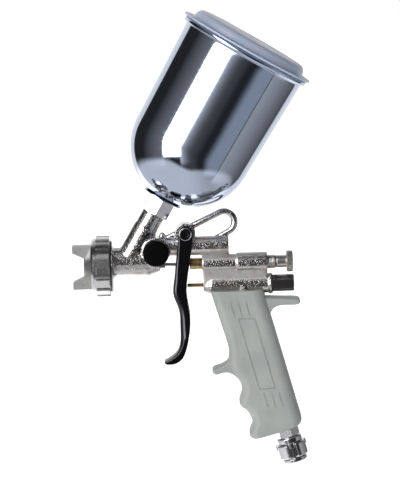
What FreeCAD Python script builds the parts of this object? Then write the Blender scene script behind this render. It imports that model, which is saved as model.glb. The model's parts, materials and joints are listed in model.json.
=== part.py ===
import FreeCAD, Part
import math
import os

from FreeCAD import Vector

# High-volume low-pressure spray gun with a gravity cup. Millimetres, +Z up, nozzle towards -X.
# The gun is drawn with the needle axis along X through (0, 0, 0) and moved at the end, so that the
# origin of every part is the centre of the air inlet's mouth.

os.makedirs("parts", exist_ok=True)

# ---------------------------------------------------------------- axes and fits
UP = Vector(0, 0, 1)
CUP_TILT = 31.0                       # cup and neck axis, back from vertical
CUP_SEAT = Vector(-14.8, 0, 48.6)     # where the cup's bottom meets that axis
INLET_TILT = 165.0                    # inlet axis: 15 degrees off straight down, towards the back
INLET_MOUTH = Vector(75.4, 0, -145.8)
NEEDLE_ORIGIN = Vector(0, 0, 0)
VALVE_Z = -15.6                       # air valve axis, below the needle axis
VALVE_ORIGIN = Vector(0, 0, VALVE_Z)
TUBE_Z = 13.1                         # top air tube axis
FAN_X = -20.9
FAN_Z = 10.5
PIVOT = Vector(0.4, 0, 22.8)          # trigger pin
MOVING_GAP = 0.3
RUNNING_GAP = 0.06                    # radial, a shaft in its hole
SEAT_GAP = 0.03                       # radial, pieces that are fixed in one another

# ---------------------------------------------------------------- spray head
HEAD_R = 17.2
HEAD_FRONT = -62.0
HEAD_BACK = -52.1
FLANGE_R = 17.9
FLANGE_FRONT = -52.9
WASHER_R = 18.2
WASHER_FRONT = -53.8
GROOVE_R = (8.0, 13.5)
GROOVE_BACK = -57.5
NOZZLE_THREAD_R = 6.0
NOZZLE_BACK = -54.3
NOZZLE_FLANGE_R = 7.4
NOZZLE_FLANGE_X = -64.6
NOZZLE_TIP_R = 1.7
NOZZLE_TIP_X = -73.2
RING_R = 20.3
RING_PAD_R = 21.8
RING_FRONT = -67.5
RING_BACK = -54.1
RING_LIP_BACK = -65.3
RING_LIP_R = 16.6
PAD_COUNT = 14
PAD_FRONT = -64.0
PAD_WIDTH = 4.7
CAP_FLANGE_R = 17.2
CAP_FLANGE_X = (-65.0, -63.2)
HORN_TIP_X = -81.0
HORN_ROOT_X = -66.0
HORN_WIDTH = 9.0
HORN_OUTER = 15.8
HORN_TIP_INNER = 10.5
HORN_ROOT_INNER = 6.4
HORN_FOOT_X = -72.2
HORN_JET_R = 0.7
HORN_JETS_X = (-78.6, -76.2)
HORN_JET_LEAN = 55.0
CAP_FACE_X = -72.9
CAP_FACE_R = 16.2
CAP_CONE_R = 15.0
CAP_CONE_X = -67.7
CAP_INSIDE_X = (-70.6, -66.2)
CAP_INSIDE_R = (6.0, 13.2)
CAP_HOLE_R = 2.1
FACE_JET_R = 0.5
FACE_JET_REACH = 4.0
DIFFUSER_X = (-63.0, -62.0)
DIFFUSER_R = (8.4, 15.4)
DIFFUSER_HOLES = 10
DIFFUSER_HOLE_R = 0.9

# ---------------------------------------------------------------- barrel, neck and tubes
BARREL_R = 7.7
BARREL_END = -27.0
BARREL_TAIL_X = -18.2
BARREL_TAIL_R = 4.4
FLARE_R = 9.2
FLARE_END = -49.4
BARREL_TOP_R = 9.0                    # the barrel is fuller above the needle, where the air ducts run
BARREL_TOP_Z = 4.4
BARREL_TOP_TAIL_R = 8.0
DUCT_RIB_R = 6.0
DUCT_RIB_Z = 7.4
PAINT_BORE_R = 2.0
AIR_DUCT_R = 1.1
AIR_DUCT_Y = 4.6
FAN_BOSS_R = 9.9
FAN_BOSS_Y = (-9.0, 8.5)
FAN_CHAMBER_R = 5.0
FAN_CHAMBER_Y = (-9.1, 6.0)
NECK_R = 8.8
NECK_TURNED_R = 8.3
NECK_S = (-51.6, -24.3, -13.4)        # bottom, step and top along the cup axis
NECK_STUD_R = 6.5
NECK_STUD_TOP = -6.4
NECK_BORE_R = 4.4
NECK_BORE_S = (-56.7, -40.0)
NECK_THROAT_R = 2.8
NUB_X = -16.2
NUB_TOP = 21.4
NUB_R = 2.2
TUBE_R = 6.8
TUBE_X = (-22.0, 31.1)
TUBE_CHAMFER = 0.7
TUBE_BORE_R = 3.6
PLUG_R = 4.4
PLUG_X = (24.5, 30.5)
BOSS_R = 7.3
BOSS_HALF = 7.0
PIN_R = 2.5
WEB_HALF = 2.3

# ---------------------------------------------------------------- hanging hook
HOOK_ROD_R = 2.4
HOOK_START = Vector(-13.5, 0, 18.6)
HOOK_CENTRE = Vector(28.2, 0, 29.6)
HOOK_BEND_R = 7.6
HOOK_RISE = 25.6                      # slope of the upper limb
HOOK_RETURN = 28.0                    # slope of the lower limb
HOOK_LOWER_RUN = 13.0

# ---------------------------------------------------------------- needle and valve housings
HOUSING_FRONT = 11.8
HOUSING_R = 6.4
HOUSING_STEP_X = 36.8
HOUSING_REAR_R = 7.2
HOUSING_BACK = 58.4
COLLAR_R = 4.15
COLLAR_X = (3.0, 24.0)
SPRING_ROOM_R = 4.6
SPRING_ROOM_X = (31.0, 49.0)
ADJUSTER_BORE_X = 48.4
VALVE_HOUSING_R = 6.8
VALVE_FRONT = 12.2
VALVE_NOSE_R = 4.6
VALVE_NOSE_BACK = 18.0
VALVE_COLLAR_R = 7.6
VALVE_COLLAR_X = (59.5, 61.2)
VALVE_ROOM_R = 5.0
VALVE_ROOM_X = 22.0
GUIDE_R = 3.5
HOUSING_WEB_HALF = 5.2
CORE_R = 7.0
CORE_BORE_R = 4.2
CORE_BORE_TOP = -129.0
CORE_BOTTOM = -25.5
NIPPLE_THREAD_R = 5.5
NIPPLE_TOP = -37.0

# ---------------------------------------------------------------- grip
GRIP_ORIGIN = Vector(42.2, 0, -21.5)  # where the inlet axis enters the grip
GRIP_TOP_Z = -19.2
GRIP_HALF = 12.5
GRIP_REAR = 13.0
GRIP_FRONT_CORNER = 6.5
GRIP_REAR_CORNER = 8.0
GRIP_END_INSET = 1.8
# distance down the grip, reach of the front edge
GRIP_FRONT = [
    (-12.0, 23.7), (-7.0, 23.6), (-1.0, 23.5), (6.0, 23.4), (13.0, 23.2), (20.0, 23.0), (27.0, 22.8),
    (33.0, 22.9), (38.0, 23.6), (42.0, 24.9), (47.0, 25.8), (51.5, 25.0), (55.0, 23.6), (58.5, 22.4),
    (63.5, 21.9), (69.5, 23.5), (74.5, 26.7), (77.9, 26.4), (81.2, 23.9), (84.9, 22.3), (89.2, 21.7),
    (93.8, 22.8), (97.5, 25.6), (100.0, 26.5), (102.3, 25.7),
]
GRIP_END = 103.7
GRIP_HEEL = 97.8                      # where the rear bottom corner starts to round
SPUR_HALF = 7.5
SPUR_ROUND = 1.6
GROOVE_DEPTH = 0.45
GROOVE_WIDTH = 0.7
PANEL = [(36.8, -38.8), (48.4, -39.2), (61.5, -89.9), (50.5, -90.6)]
SLOT_PITCH = 5.4
SLOT_LENGTH = 10.5
SLOT_SLANT = 15.0
UPPER_SLOTS = Vector(31.5, 0, -27.5)
LOWER_SLOTS = Vector(53.4, 0, -93.5)

# ---------------------------------------------------------------- trigger
ARM_IN = 7.3
ARM_OUT = 9.8
ARM_EYE_R = 5.5
TRIGGER_WALL = 2.6
TRIGGER_TOP_Z = -5.5
TRIGGER_FRONT_ROUND = (1.4, 5.0)      # radius of the front edges, at the top and at the tip
NEEDLE_PAD_R = 2.4
NEEDLE_PAD_IN = 1.9
VALVE_PAD_R = 2.0
VALVE_PAD_X = -1.5
TRIGGER_FRONT = [
    (-5.0, 20.5), (-5.9, 10.2), (-7.5, -2.2), (-8.6, -11.5), (-9.6, -18.9), (-8.6, -24.3), (-6.0, -31.5),
    (-5.2, -37.5), (-5.2, -44.5), (-5.2, -51.6), (-5.9, -58.4), (-8.1, -63.5), (-12.2, -67.2), (-17.4, -70.0),
]
TRIGGER_TIP = [(-17.4, -70.0), (-16.8, -71.2), (-13.6, -71.9), (-9.8, -71.5), (-6.2, -69.6), (-3.1, -66.0)]
TRIGGER_REAR = [
    (-3.1, -66.0), (-1.0, -60.2), (1.0, -51.3), (2.1, -42.4), (1.9, -35.4), (1.0, -29.5), (0.2, -22.8),
    (0.1, -17.1), (1.0, -9.6), (2.4, -1.1), (3.8, 7.0), (5.8, 20.5),
]
TIP_TRIM_Z = (-52.0, -73.0)           # where the tip starts to narrow, and below its end
TIP_TRIM_HALF = 6.8
PIN_HEAD_R = 3.7
PIN_HEAD_Y = (-12.4, -10.5)
PIN_TAIL_Y = 12.6
PIN_WASHER_R = 4.55
PIN_WASHER_THICK = 0.6
PIN_NUT_ACROSS = 7.0

# ---------------------------------------------------------------- needle and adjuster
NEEDLE_R = 1.25
NEEDLE_TIP_X = -72.4
NEEDLE_TIP_R = 0.45
NEEDLE_TAPER_X = -66.5
NEEDLE_TAIL_X = 47.5
PACKING_R = 2.6
PACKING_X = (-24.2, -19.4)
GLAND_X = (-19.3, -18.2, -14.7)
GLAND_HEX = 6.2
GLAND_ROOM_R = 4.2
GLAND_ROOM_END = -8.0
SPRING_SEAT_X = (49.9, 51.7)
SPRING_SEAT_R = 4.1
NEEDLE_SPRING_R = 3.3
SPRING_WIRE_R = 0.45
KNOB_THREAD_R = 5.15
KNOB_THREAD_X = (52.0, 63.7)
KNOB_STUD_R = 4.5
KNOB_HEAD_X = (72.2, 76.8)
KNOB_HEAD_R = 7.6
KNOB_TAIL_BORE = (1.8, 61.0)
KNURL_COUNT = 30
KNURL_R = 0.5

# ---------------------------------------------------------------- air valve
STEM_R = 1.42
STEM_X = (0.8, 24.3)
POPPET_R = 3.7
POPPET_X = (24.3, 28.0)
SEAT_X = (22.2, 24.0)
SEAT_BORE_R = 2.4
VALVE_CAP_BORE_R = 4.1
VALVE_CAP_X = (50.0, 61.9, 77.3)
VALVE_CAP_ACROSS = 10.6
VALVE_CAP_TURN = 2.0
CAP_FLOOR = 3.5
VALVE_SPRING_R = 3.1

# ---------------------------------------------------------------- fan control
FAN_KNOB_R = 9.4
FAN_KNOB_Y = (-20.0, -12.3)
FAN_BUSH_HEX = 14.0
FAN_SPINDLE_R = 1.9
FAN_PLUG_R = 4.2
FAN_SOCKET = 3.0
FLUTE_COUNT = 40
FLUTE_R = 0.45

# ---------------------------------------------------------------- cup and lid
CUP_WALL = 1.0
CUP_BALL_R = 44.1
CUP_BALL_S = 42.55
CUP_TOP_R = 46.35
CUP_TOP_S = 118.2
CUP_BOTTOM_S = 0.15
BEAD_R = 1.9
CUP_HOLE_R = 7.0
CUP_STUD_R = 6.9
CUP_STUD_TOP = 8.0
CUP_PAINT_R = 4.5
CUP_NUT_ACROSS = 19.0
CUP_NUT_TURN = 34.0                   # a corner of the hexagon is at the left, a little behind the middle
CUP_NUT_S = (-13.2, -0.9)
CUP_WASHER_R = 14.8
LOCK_NUT_S = (1.2, 6.2)
LID_BRIM_R = 50.5
LID_BRIM_S = (122.2, 123.8)
LID_PLUG_R = 44.7
LID_PLUG_BOTTOM = 113.1
LID_WALL = 1.5
LID_DOME_R = 43.5
LID_TOP_S = 130.6
LID_EDGE_R = 5.0
LID_VENT_R = 0.8

# ---------------------------------------------------------------- air inlet
NIPPLE_HEX_S = (-24.65, -18.95)
NIPPLE_HEX_ACROSS = 15.0
NIPPLE_BORE_R = 3.6
NIPPLE_BOTTOM = -12.6
COUPLER_COLLAR_R = 9.2
COUPLER_COLLAR_S = (-18.6, -14.5)
COUPLER_NECK_R = 7.3
COUPLER_LIP_R = 8.9
COUPLER_LIP_S = -2.7
COUPLER_BORE_R = 5.0
COUPLER_BORE_LENGTH = 10.4
COUPLER_SEAL_S = -11.9
COUPLER_SEAL_R = 5.8                  # the seal sits in a groove wider than the mouth
SLEEVE_R = 9.0
SLEEVE_S = (-14.2, -10.9)
CLAW_R = 10.8
CLAW_BOTTOM = -3.8
CLAW_COUNT = 4
CLAW_WIDTH = 9.6
LUG_R = 11.2
LUG_WIDTH = 5.0


# ---------------------------------------------------------------- helpers
def on_axis(shape, origin, tilt):
    """Turn a shape drawn about Z over to a tilted axis through origin."""
    shape.rotate(Vector(0, 0, 0), Vector(0, 1, 0), tilt)
    shape.translate(origin)
    return shape


def rod(radius, start, end, origin=NEEDLE_ORIGIN, tilt=90.0):
    """Round bar from start to end along a tilted axis."""
    return on_axis(Part.makeCylinder(radius, end - start, Vector(0, 0, start)), origin, tilt)


def taper(radius, end_radius, start, end, origin=NEEDLE_ORIGIN, tilt=90.0):
    """Tapered bar along a tilted axis."""
    cone = Part.makeCone(radius, end_radius, end - start, Vector(0, 0, start))
    return on_axis(cone, origin, tilt)


def tube(radius, bore, start, end, origin=NEEDLE_ORIGIN, tilt=90.0):
    """Round tube along a tilted axis."""
    return rod(radius, start, end, origin, tilt).cut(rod(bore, start, end, origin, tilt))


def cross_rod(radius, y_from, y_to, x, z):
    """Round bar across the gun."""
    return Part.makeCylinder(radius, y_to - y_from, Vector(x, y_from, z), Vector(0, 1, 0))


def turned(profile, origin=NEEDLE_ORIGIN, tilt=90.0):
    """Turned solid from (radius, station) points."""
    points = [Vector(radius, 0, station) for radius, station in profile]
    face = Part.Face(Part.makePolygon(points + [points[0]]))
    return on_axis(face.revolve(Vector(0, 0, 0), UP, 360.0), origin, tilt)


def hexagon(across, start, end, origin=NEEDLE_ORIGIN, tilt=90.0, turn=0.0):
    """Hexagonal bar with both ends chamfered as a nut is."""
    corner = across / math.sqrt(3.0)
    points = []
    for side in range(7):
        angle = math.radians(60.0 * side + turn)
        points.append(Vector(corner * math.cos(angle), corner * math.sin(angle), start))
    bar = Part.Face(Part.makePolygon(points)).extrude(Vector(0, 0, end - start))
    bevel = 0.5 * (corner - across / 2.0)
    flat = across / 2.0
    outside = [
        (0, start), (flat, start), (corner, start + bevel), (corner, end - bevel), (flat, end), (0, end),
    ]
    return on_axis(bar.common(turned(outside, tilt=0.0)), origin, tilt)


def block(x_from, x_to, half_width, z_from, z_to):
    """Box centred on the gun's middle plane."""
    return Part.makeBox(x_to - x_from, 2 * half_width, z_to - z_from, Vector(x_from, -half_width, z_from))


def curve(points):
    """Smooth edge through (x, z) points in the middle plane."""
    spline = Part.BSplineCurve()
    spline.interpolate([Vector(x, 0, z) for x, z in points])
    return spline.toShape()


def plate(face, y_from, y_to):
    """Face in the middle plane, thickened from y_from to y_to."""
    piece = face.copy()
    piece.translate(Vector(0, y_from, 0))
    return piece.extrude(Vector(0, y_to - y_from, 0))


def polygon_plate(points, y_from, y_to):
    """Plate with straight sides through (x, z) points."""
    corners = [Vector(x, 0, z) for x, z in points]
    return plate(Part.Face(Part.makePolygon(corners + [corners[0]])), y_from, y_to)


def fused(shapes):
    """One solid from several."""
    whole = shapes[0].multiFuse(shapes[1:])
    return whole.removeSplitter()


def spring(mean_radius, wire_radius, start, end, turns, origin):
    """Coil spring along X."""
    length = end - start - 2 * wire_radius
    helix = Part.makeHelix(length / turns, length, mean_radius)
    helix.translate(Vector(0, 0, start + wire_radius))
    first = Vector(mean_radius, 0, start + wire_radius)
    section = Part.Wire(Part.Circle(first, Vector(0, 1, 0), wire_radius).toShape())
    return on_axis(Part.Wire(helix).makePipeShell([section], True, True), origin, 90.0)


# ---------------------------------------------------------------- gun body
def egg_barrel():
    """Barrel with an egg-shaped section: a small round below, a fuller one above, and flat sides."""
    lean = math.acos((BARREL_R - BARREL_TOP_R) / BARREL_TOP_Z)
    low = Vector(HEAD_BACK, BARREL_R * math.sin(lean), BARREL_R * math.cos(lean))
    high = Vector(HEAD_BACK, BARREL_TOP_R * math.sin(lean), BARREL_TOP_Z + BARREL_TOP_R * math.cos(lean))
    low_left = Vector(low.x, -low.y, low.z)
    high_left = Vector(high.x, -high.y, high.z)
    top = Part.Arc(high, Vector(HEAD_BACK, 0, BARREL_TOP_Z + BARREL_TOP_R), high_left).toShape()
    bottom = Part.Arc(low_left, Vector(HEAD_BACK, 0, -BARREL_R), low).toShape()
    wire = Part.Wire([Part.makeLine(low, high), top, Part.makeLine(high_left, low_left), bottom])
    return Part.Face(wire).extrude(Vector(BARREL_END - HEAD_BACK, 0, 0))


def head_and_barrel():
    """Front of the casting, from the head flange to the packing gland."""
    return [
        rod(HEAD_R, HEAD_FRONT, HEAD_BACK),
        rod(FLANGE_R, FLANGE_FRONT, HEAD_BACK),
        taper(FLARE_R, BARREL_R, HEAD_BACK, FLARE_END),
        egg_barrel(),
        taper(BARREL_R, BARREL_TAIL_R, BARREL_END, BARREL_TAIL_X),
        taper(BARREL_TOP_R, BARREL_TOP_TAIL_R, BARREL_END, BARREL_TAIL_X, Vector(0, 0, BARREL_TOP_Z)),
        rod(DUCT_RIB_R, BARREL_END, FAN_X, Vector(0, 0, DUCT_RIB_Z)),
        cross_rod(FAN_BOSS_R, FAN_BOSS_Y[0], FAN_BOSS_Y[1], FAN_X, FAN_Z),
    ]


def cup_neck():
    """Tilted neck that carries the cup."""
    return [
        rod(NECK_R, NECK_S[0], NECK_S[1], CUP_SEAT, CUP_TILT),
        rod(NECK_TURNED_R, NECK_S[1], NECK_S[2], CUP_SEAT, CUP_TILT),
        rod(NECK_STUD_R, NECK_S[2], NECK_STUD_TOP, CUP_SEAT, CUP_TILT),
    ]


def top_tube():
    """Air tube above the needle, with the pivot boss, the nub and the web under the hook."""
    tube_origin = Vector(0, 0, TUBE_Z)
    boss_web = [(-14.0, TUBE_Z), (HOOK_START.x, HOOK_START.z), (PIVOT.x, PIVOT.z + 2.0), (PIVOT.x, TUBE_Z)]
    return [
        rod(TUBE_R, TUBE_X[0], TUBE_X[1] - TUBE_CHAMFER, tube_origin),
        taper(TUBE_R, TUBE_R - TUBE_CHAMFER, TUBE_X[1] - TUBE_CHAMFER, TUBE_X[1], tube_origin),
        cross_rod(BOSS_R, -BOSS_HALF, BOSS_HALF, PIVOT.x, PIVOT.z),
        Part.makeCylinder(NUB_R, NUB_TOP - TUBE_Z, Vector(NUB_X, 0, TUBE_Z)),
        Part.makeSphere(NUB_R, Vector(NUB_X, 0, NUB_TOP)),
        polygon_plate(boss_web, -WEB_HALF, WEB_HALF),
    ]


def hook():
    """Cast hanging hook: a rod out from the pivot boss, round a bend and back onto the tube."""
    rise = math.radians(HOOK_RISE)
    back = math.radians(HOOK_RETURN)
    bend_start = HOOK_CENTRE + Vector(-math.sin(rise), 0, math.cos(rise)) * HOOK_BEND_R
    bend_end = HOOK_CENTRE + Vector(math.sin(back), 0, -math.cos(back)) * HOOK_BEND_R
    middle = (rise - back) / 2.0
    bend_middle = HOOK_CENTRE + Vector(math.cos(middle), 0, math.sin(middle)) * HOOK_BEND_R
    finish = bend_end - Vector(math.cos(back), 0, math.sin(back)) * HOOK_LOWER_RUN
    path = Part.Wire([
        Part.makeLine(HOOK_START, bend_start),
        Part.Arc(bend_start, bend_middle, bend_end).toShape(),
        Part.makeLine(bend_end, finish),
    ])
    direction = Vector(math.cos(rise), 0, math.sin(rise))
    section = Part.Wire(Part.Circle(HOOK_START, direction, HOOK_ROD_R).toShape())
    foot = [
        (finish.x, TUBE_Z), (finish.x, finish.z), (bend_end.x - 1.6, bend_end.z - 0.9),
        (TUBE_X[1] - TUBE_CHAMFER, TUBE_Z),
    ]
    return [path.makePipeShell([section], True, False), polygon_plate(foot, -HOOK_ROD_R, HOOK_ROD_R)]


def housings():
    """Needle housing, valve housing, the webs between them and the tube inside the grip."""
    end_lift = INLET_MOUTH.z - VALVE_Z
    core_top = end_lift / math.cos(math.radians(180.0 - INLET_TILT))
    return [
        rod(HOUSING_R, HOUSING_FRONT, HOUSING_STEP_X),
        rod(HOUSING_REAR_R, HOUSING_STEP_X, HOUSING_BACK),
        taper(VALVE_NOSE_R, VALVE_HOUSING_R, VALVE_FRONT, VALVE_NOSE_BACK, VALVE_ORIGIN),
        rod(VALVE_HOUSING_R, VALVE_NOSE_BACK, VALVE_COLLAR_X[0], VALVE_ORIGIN),
        rod(VALVE_COLLAR_R, VALVE_COLLAR_X[0], VALVE_COLLAR_X[1], VALVE_ORIGIN),
        block(VALVE_FRONT, HOUSING_BACK, HOUSING_WEB_HALF, VALVE_Z, 0),
        block(VALVE_FRONT, TUBE_X[1] - TUBE_CHAMFER, WEB_HALF, 0, TUBE_Z),
        rod(CORE_R, core_top, CORE_BOTTOM, INLET_MOUTH, INLET_TILT),
    ]


def body_bores():
    """Everything drilled out of the casting."""
    needle_bore = COLLAR_R + RUNNING_GAP
    groove = tube(GROOVE_R[1], GROOVE_R[0], HEAD_FRONT - 1, GROOVE_BACK)
    ducts = []
    for side in (-1, 1):
        duct_origin = Vector(0, side * AIR_DUCT_Y, DUCT_RIB_Z)
        ducts.append(rod(AIR_DUCT_R, GROOVE_BACK - 1, FAN_X, duct_origin))
    return ducts + [
        groove,
        rod(NOZZLE_THREAD_R, HEAD_FRONT - 1, NOZZLE_BACK),
        rod(PAINT_BORE_R, NOZZLE_BACK - 1, PACKING_X[0] + 1),
        rod(PACKING_R, PACKING_X[0], BARREL_TAIL_X + 1),
        rod(GLAND_ROOM_R, BARREL_TAIL_X, GLAND_ROOM_END),
        rod(NECK_THROAT_R, NECK_BORE_S[0], NECK_BORE_S[1], CUP_SEAT, CUP_TILT),
        rod(NECK_BORE_R, NECK_BORE_S[1], NECK_STUD_TOP + 1, CUP_SEAT, CUP_TILT),
        cross_rod(FAN_CHAMBER_R, FAN_CHAMBER_Y[0], FAN_CHAMBER_Y[1], FAN_X, FAN_Z),
        rod(TUBE_BORE_R, FAN_X, TUBE_X[1] + 1, Vector(0, 0, TUBE_Z)),
        rod(PLUG_R, PLUG_X[0], TUBE_X[1] + 1, Vector(0, 0, TUBE_Z)),
        cross_rod(PIN_R + SEAT_GAP, -BOSS_HALF - 1, BOSS_HALF + 1, PIVOT.x, PIVOT.z),
        rod(needle_bore, HOUSING_FRONT - 1, SPRING_ROOM_X[0]),
        rod(SPRING_ROOM_R, SPRING_ROOM_X[0], SPRING_ROOM_X[1]),
        rod(KNOB_THREAD_R + RUNNING_GAP, ADJUSTER_BORE_X, HOUSING_BACK + 1),
        rod(GUIDE_R, VALVE_FRONT - 1, VALVE_ROOM_X + 1, VALVE_ORIGIN),
        rod(VALVE_ROOM_R, VALVE_ROOM_X, VALVE_COLLAR_X[1] + 1, VALVE_ORIGIN),
        rod(CORE_BORE_R, CORE_BORE_TOP, CORE_BOTTOM + 1, INLET_MOUTH, INLET_TILT),
        rod(NIPPLE_THREAD_R + SEAT_GAP, NIPPLE_TOP, CORE_BOTTOM + 1, INLET_MOUTH, INLET_TILT),
    ]


def gun_body():
    """The whole casting."""
    solid = fused(head_and_barrel() + cup_neck() + top_tube() + hook() + housings())
    return solid.cut(Part.makeCompound(body_bores()))


# ---------------------------------------------------------------- grip
def grip_point(down, back):
    """Point of the middle plane, from its distance down the grip and behind the inlet axis."""
    lean = math.radians(180.0 - INLET_TILT)
    x = GRIP_ORIGIN.x + down * math.sin(lean) + back * math.cos(lean)
    z = GRIP_ORIGIN.z - down * math.cos(lean) + back * math.sin(lean)
    return Vector(x, 0, z)


def grip_section(down, front, rear, half):
    """Rounded rectangle across the grip."""
    front_corner = min(GRIP_FRONT_CORNER, half)
    rear_corner = min(GRIP_REAR_CORNER, half)
    diagonal = 1.0 - math.sqrt(0.5)
    outline = []
    for back, y in (
        (-front, half - front_corner), (-front + diagonal * front_corner, half - diagonal * front_corner),
        (-front + front_corner, half), (rear - rear_corner, half),
        (rear - diagonal * rear_corner, half - diagonal * rear_corner), (rear, half - rear_corner),
    ):
        spot = grip_point(down, back)
        outline.append(Vector(spot.x, y, spot.z))
    mirrored = [Vector(spot.x, -spot.y, spot.z) for spot in outline]
    edges = [
        Part.Arc(outline[0], outline[1], outline[2]).toShape(),
        Part.makeLine(outline[2], outline[3]),
        Part.Arc(outline[3], outline[4], outline[5]).toShape(),
        Part.makeLine(outline[5], mirrored[5]),
        Part.Arc(mirrored[5], mirrored[4], mirrored[3]).toShape(),
        Part.makeLine(mirrored[3], mirrored[2]),
        Part.Arc(mirrored[2], mirrored[1], mirrored[0]).toShape(),
        Part.makeLine(mirrored[0], outline[0]),
    ]
    return Part.Wire(edges)


def grip_main():
    """Lofted handle with its two finger hollows."""
    sections = []
    for down, front in GRIP_FRONT:
        past_heel = max(0.0, down - GRIP_HEEL)
        sections.append(grip_section(down, front, GRIP_REAR - 0.12 * past_heel ** 2, GRIP_HALF))
    last_front = GRIP_FRONT[-1][1] - GRIP_END_INSET
    last_rear = GRIP_REAR - 3.0 * GRIP_END_INSET
    sections.append(grip_section(GRIP_END, last_front, last_rear, GRIP_HALF - GRIP_END_INSET))
    return Part.makeLoft(sections, True, False)


def finger_spur():
    """Hook below the trigger that the middle finger rests under."""
    outline = [
        curve([
            (33.0, -64.2), (29.9, -68.2), (27.5, -71.4), (24.0, -73.6), (19.8, -75.1), (17.2, -76.5),
            (17.0, -78.4), (18.7, -80.1), (22.0, -79.7), (27.0, -78.9), (31.6, -80.6), (36.5, -86.0),
        ]),
        Part.makeLine(Vector(36.5, 0, -86.0), Vector(40.0, 0, -72.0)),
        Part.makeLine(Vector(40.0, 0, -72.0), Vector(33.0, 0, -64.2)),
    ]
    piece = plate(Part.Face(Part.Wire(outline)), -SPUR_HALF, SPUR_HALF)
    return rounded_sides(piece)


def rear_spur():
    """Spur over the web of the hand."""
    outline = [
        curve([
            (52.0, -24.8), (60.0, -25.3), (70.0, -25.8), (78.2, -26.2), (80.6, -27.0), (81.4, -28.5),
            (80.6, -30.2), (78.2, -31.0), (71.0, -31.0), (66.0, -31.4), (62.6, -32.8), (60.4, -35.4),
            (59.6, -38.9),
        ]),
        Part.makeLine(Vector(59.6, 0, -38.9), Vector(52.0, 0, -38.9)),
        Part.makeLine(Vector(52.0, 0, -38.9), Vector(52.0, 0, -24.8)),
    ]
    piece = plate(Part.Face(Part.Wire(outline)), -SPUR_HALF, SPUR_HALF)
    return rounded_sides(piece)


def rounded_sides(piece):
    """Round the edges in a spur's two side faces, leaving those on straight construction lines."""
    chosen = []
    for edge in piece.Edges:
        box = edge.BoundBox
        in_side = abs(box.YMin - box.YMax) < 0.01 and abs(abs(box.YMin) - SPUR_HALF) < 0.01
        if in_side and edge.Curve.TypeId != "Part::GeomLine":
            chosen.append(edge)
    return piece.makeFillet(SPUR_ROUND, chosen)


def slot_bar(start, end):
    """Narrow bar across the grip between two (x, z) points, to cut a groove on either side."""
    run = Vector(end[0] - start[0], 0, end[1] - start[1])
    side = Vector(-run.z, 0, run.x).normalize() * (GROOVE_WIDTH / 2.0)
    corners = []
    for point in (Vector(start[0], 0, start[1]) - side, Vector(end[0], 0, end[1]) - side,
                  Vector(end[0], 0, end[1]) + side, Vector(start[0], 0, start[1]) + side):
        corners.append((point.x, point.z))
    bars = []
    for side_sign in (-1, 1):
        inner = side_sign * (GRIP_HALF - GROOVE_DEPTH)
        outer = side_sign * (GRIP_HALF + 1.0)
        bars.append(polygon_plate(corners, min(inner, outer), max(inner, outer)))
    return bars


def grip_grooves():
    """Engraved panel border, with three short slanted grooves above it and three below."""
    bars = []
    for index in range(len(PANEL)):
        bars += slot_bar(PANEL[index], PANEL[(index + 1) % len(PANEL)])
    slant = math.radians(SLOT_SLANT)
    for place in (UPPER_SLOTS, LOWER_SLOTS):
        for index in range(3):
            x = place.x + index * SLOT_PITCH
            z = place.z + 0.3 * index
            bars += slot_bar((x, z), (x + SLOT_LENGTH * math.sin(slant), z - SLOT_LENGTH * math.cos(slant)))
    return bars


def grip():
    """Nylon grip, moulded round the casting's tube."""
    whole = fused([grip_main(), finger_spur(), rear_spur()])
    whole = whole.cut(Part.makeBox(200, 100, 60, Vector(-60, -50, GRIP_TOP_Z)))
    whole = whole.cut(rod(CORE_R + SEAT_GAP, -135.0, 0.0, INLET_MOUTH, INLET_TILT))
    whole = whole.cut(rod(VALVE_HOUSING_R + SEAT_GAP, 0.0, VALVE_COLLAR_X[0] - 0.1, VALVE_ORIGIN))
    whole = whole.cut(rod(VALVE_COLLAR_R + 0.3, VALVE_COLLAR_X[0] - 0.1, 90.0, VALVE_ORIGIN))
    return whole.cut(Part.makeCompound(grip_grooves()))


# ---------------------------------------------------------------- spray head pieces
def head_washer():
    """Thin dark washer behind the air cap ring."""
    return tube(WASHER_R, HEAD_R + SEAT_GAP, WASHER_FRONT, FLANGE_FRONT - SEAT_GAP)


def fluid_nozzle():
    """Nozzle screwed into the head, with the bore that the needle closes."""
    shank = NOZZLE_THREAD_R - SEAT_GAP
    tip_bore = NEEDLE_TIP_R + 0.2
    throat = NEEDLE_R + 0.25
    back = NOZZLE_BACK - SEAT_GAP
    shoulder = HEAD_FRONT - SEAT_GAP
    return turned([
        (PAINT_BORE_R, back), (shank, back), (shank, shoulder), (NOZZLE_FLANGE_R, shoulder),
        (NOZZLE_FLANGE_R, NOZZLE_FLANGE_X), (5.0, NOZZLE_FLANGE_X - 0.8), (2.6, -69.0), (NOZZLE_TIP_R, -71.0),
        (NOZZLE_TIP_R, NOZZLE_TIP_X), (tip_bore, NOZZLE_TIP_X), (tip_bore, NOZZLE_TIP_X + 0.6),
        (throat, NEEDLE_TAPER_X), (PAINT_BORE_R, NEEDLE_TAPER_X + 1.5),
    ])


def air_diffuser():
    """Perforated ring that evens out the cap air."""
    ring = tube(DIFFUSER_R[1], DIFFUSER_R[0], DIFFUSER_X[0], DIFFUSER_X[1] - SEAT_GAP)
    holes = []
    middle = (DIFFUSER_R[0] + DIFFUSER_R[1]) / 2.0
    for index in range(DIFFUSER_HOLES):
        angle = 2.0 * math.pi * index / DIFFUSER_HOLES
        origin = Vector(0, middle * math.cos(angle), middle * math.sin(angle))
        holes.append(rod(DIFFUSER_HOLE_R, DIFFUSER_X[0] - 1, DIFFUSER_X[1] + 1, origin))
    return ring.cut(Part.makeCompound(holes))


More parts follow.
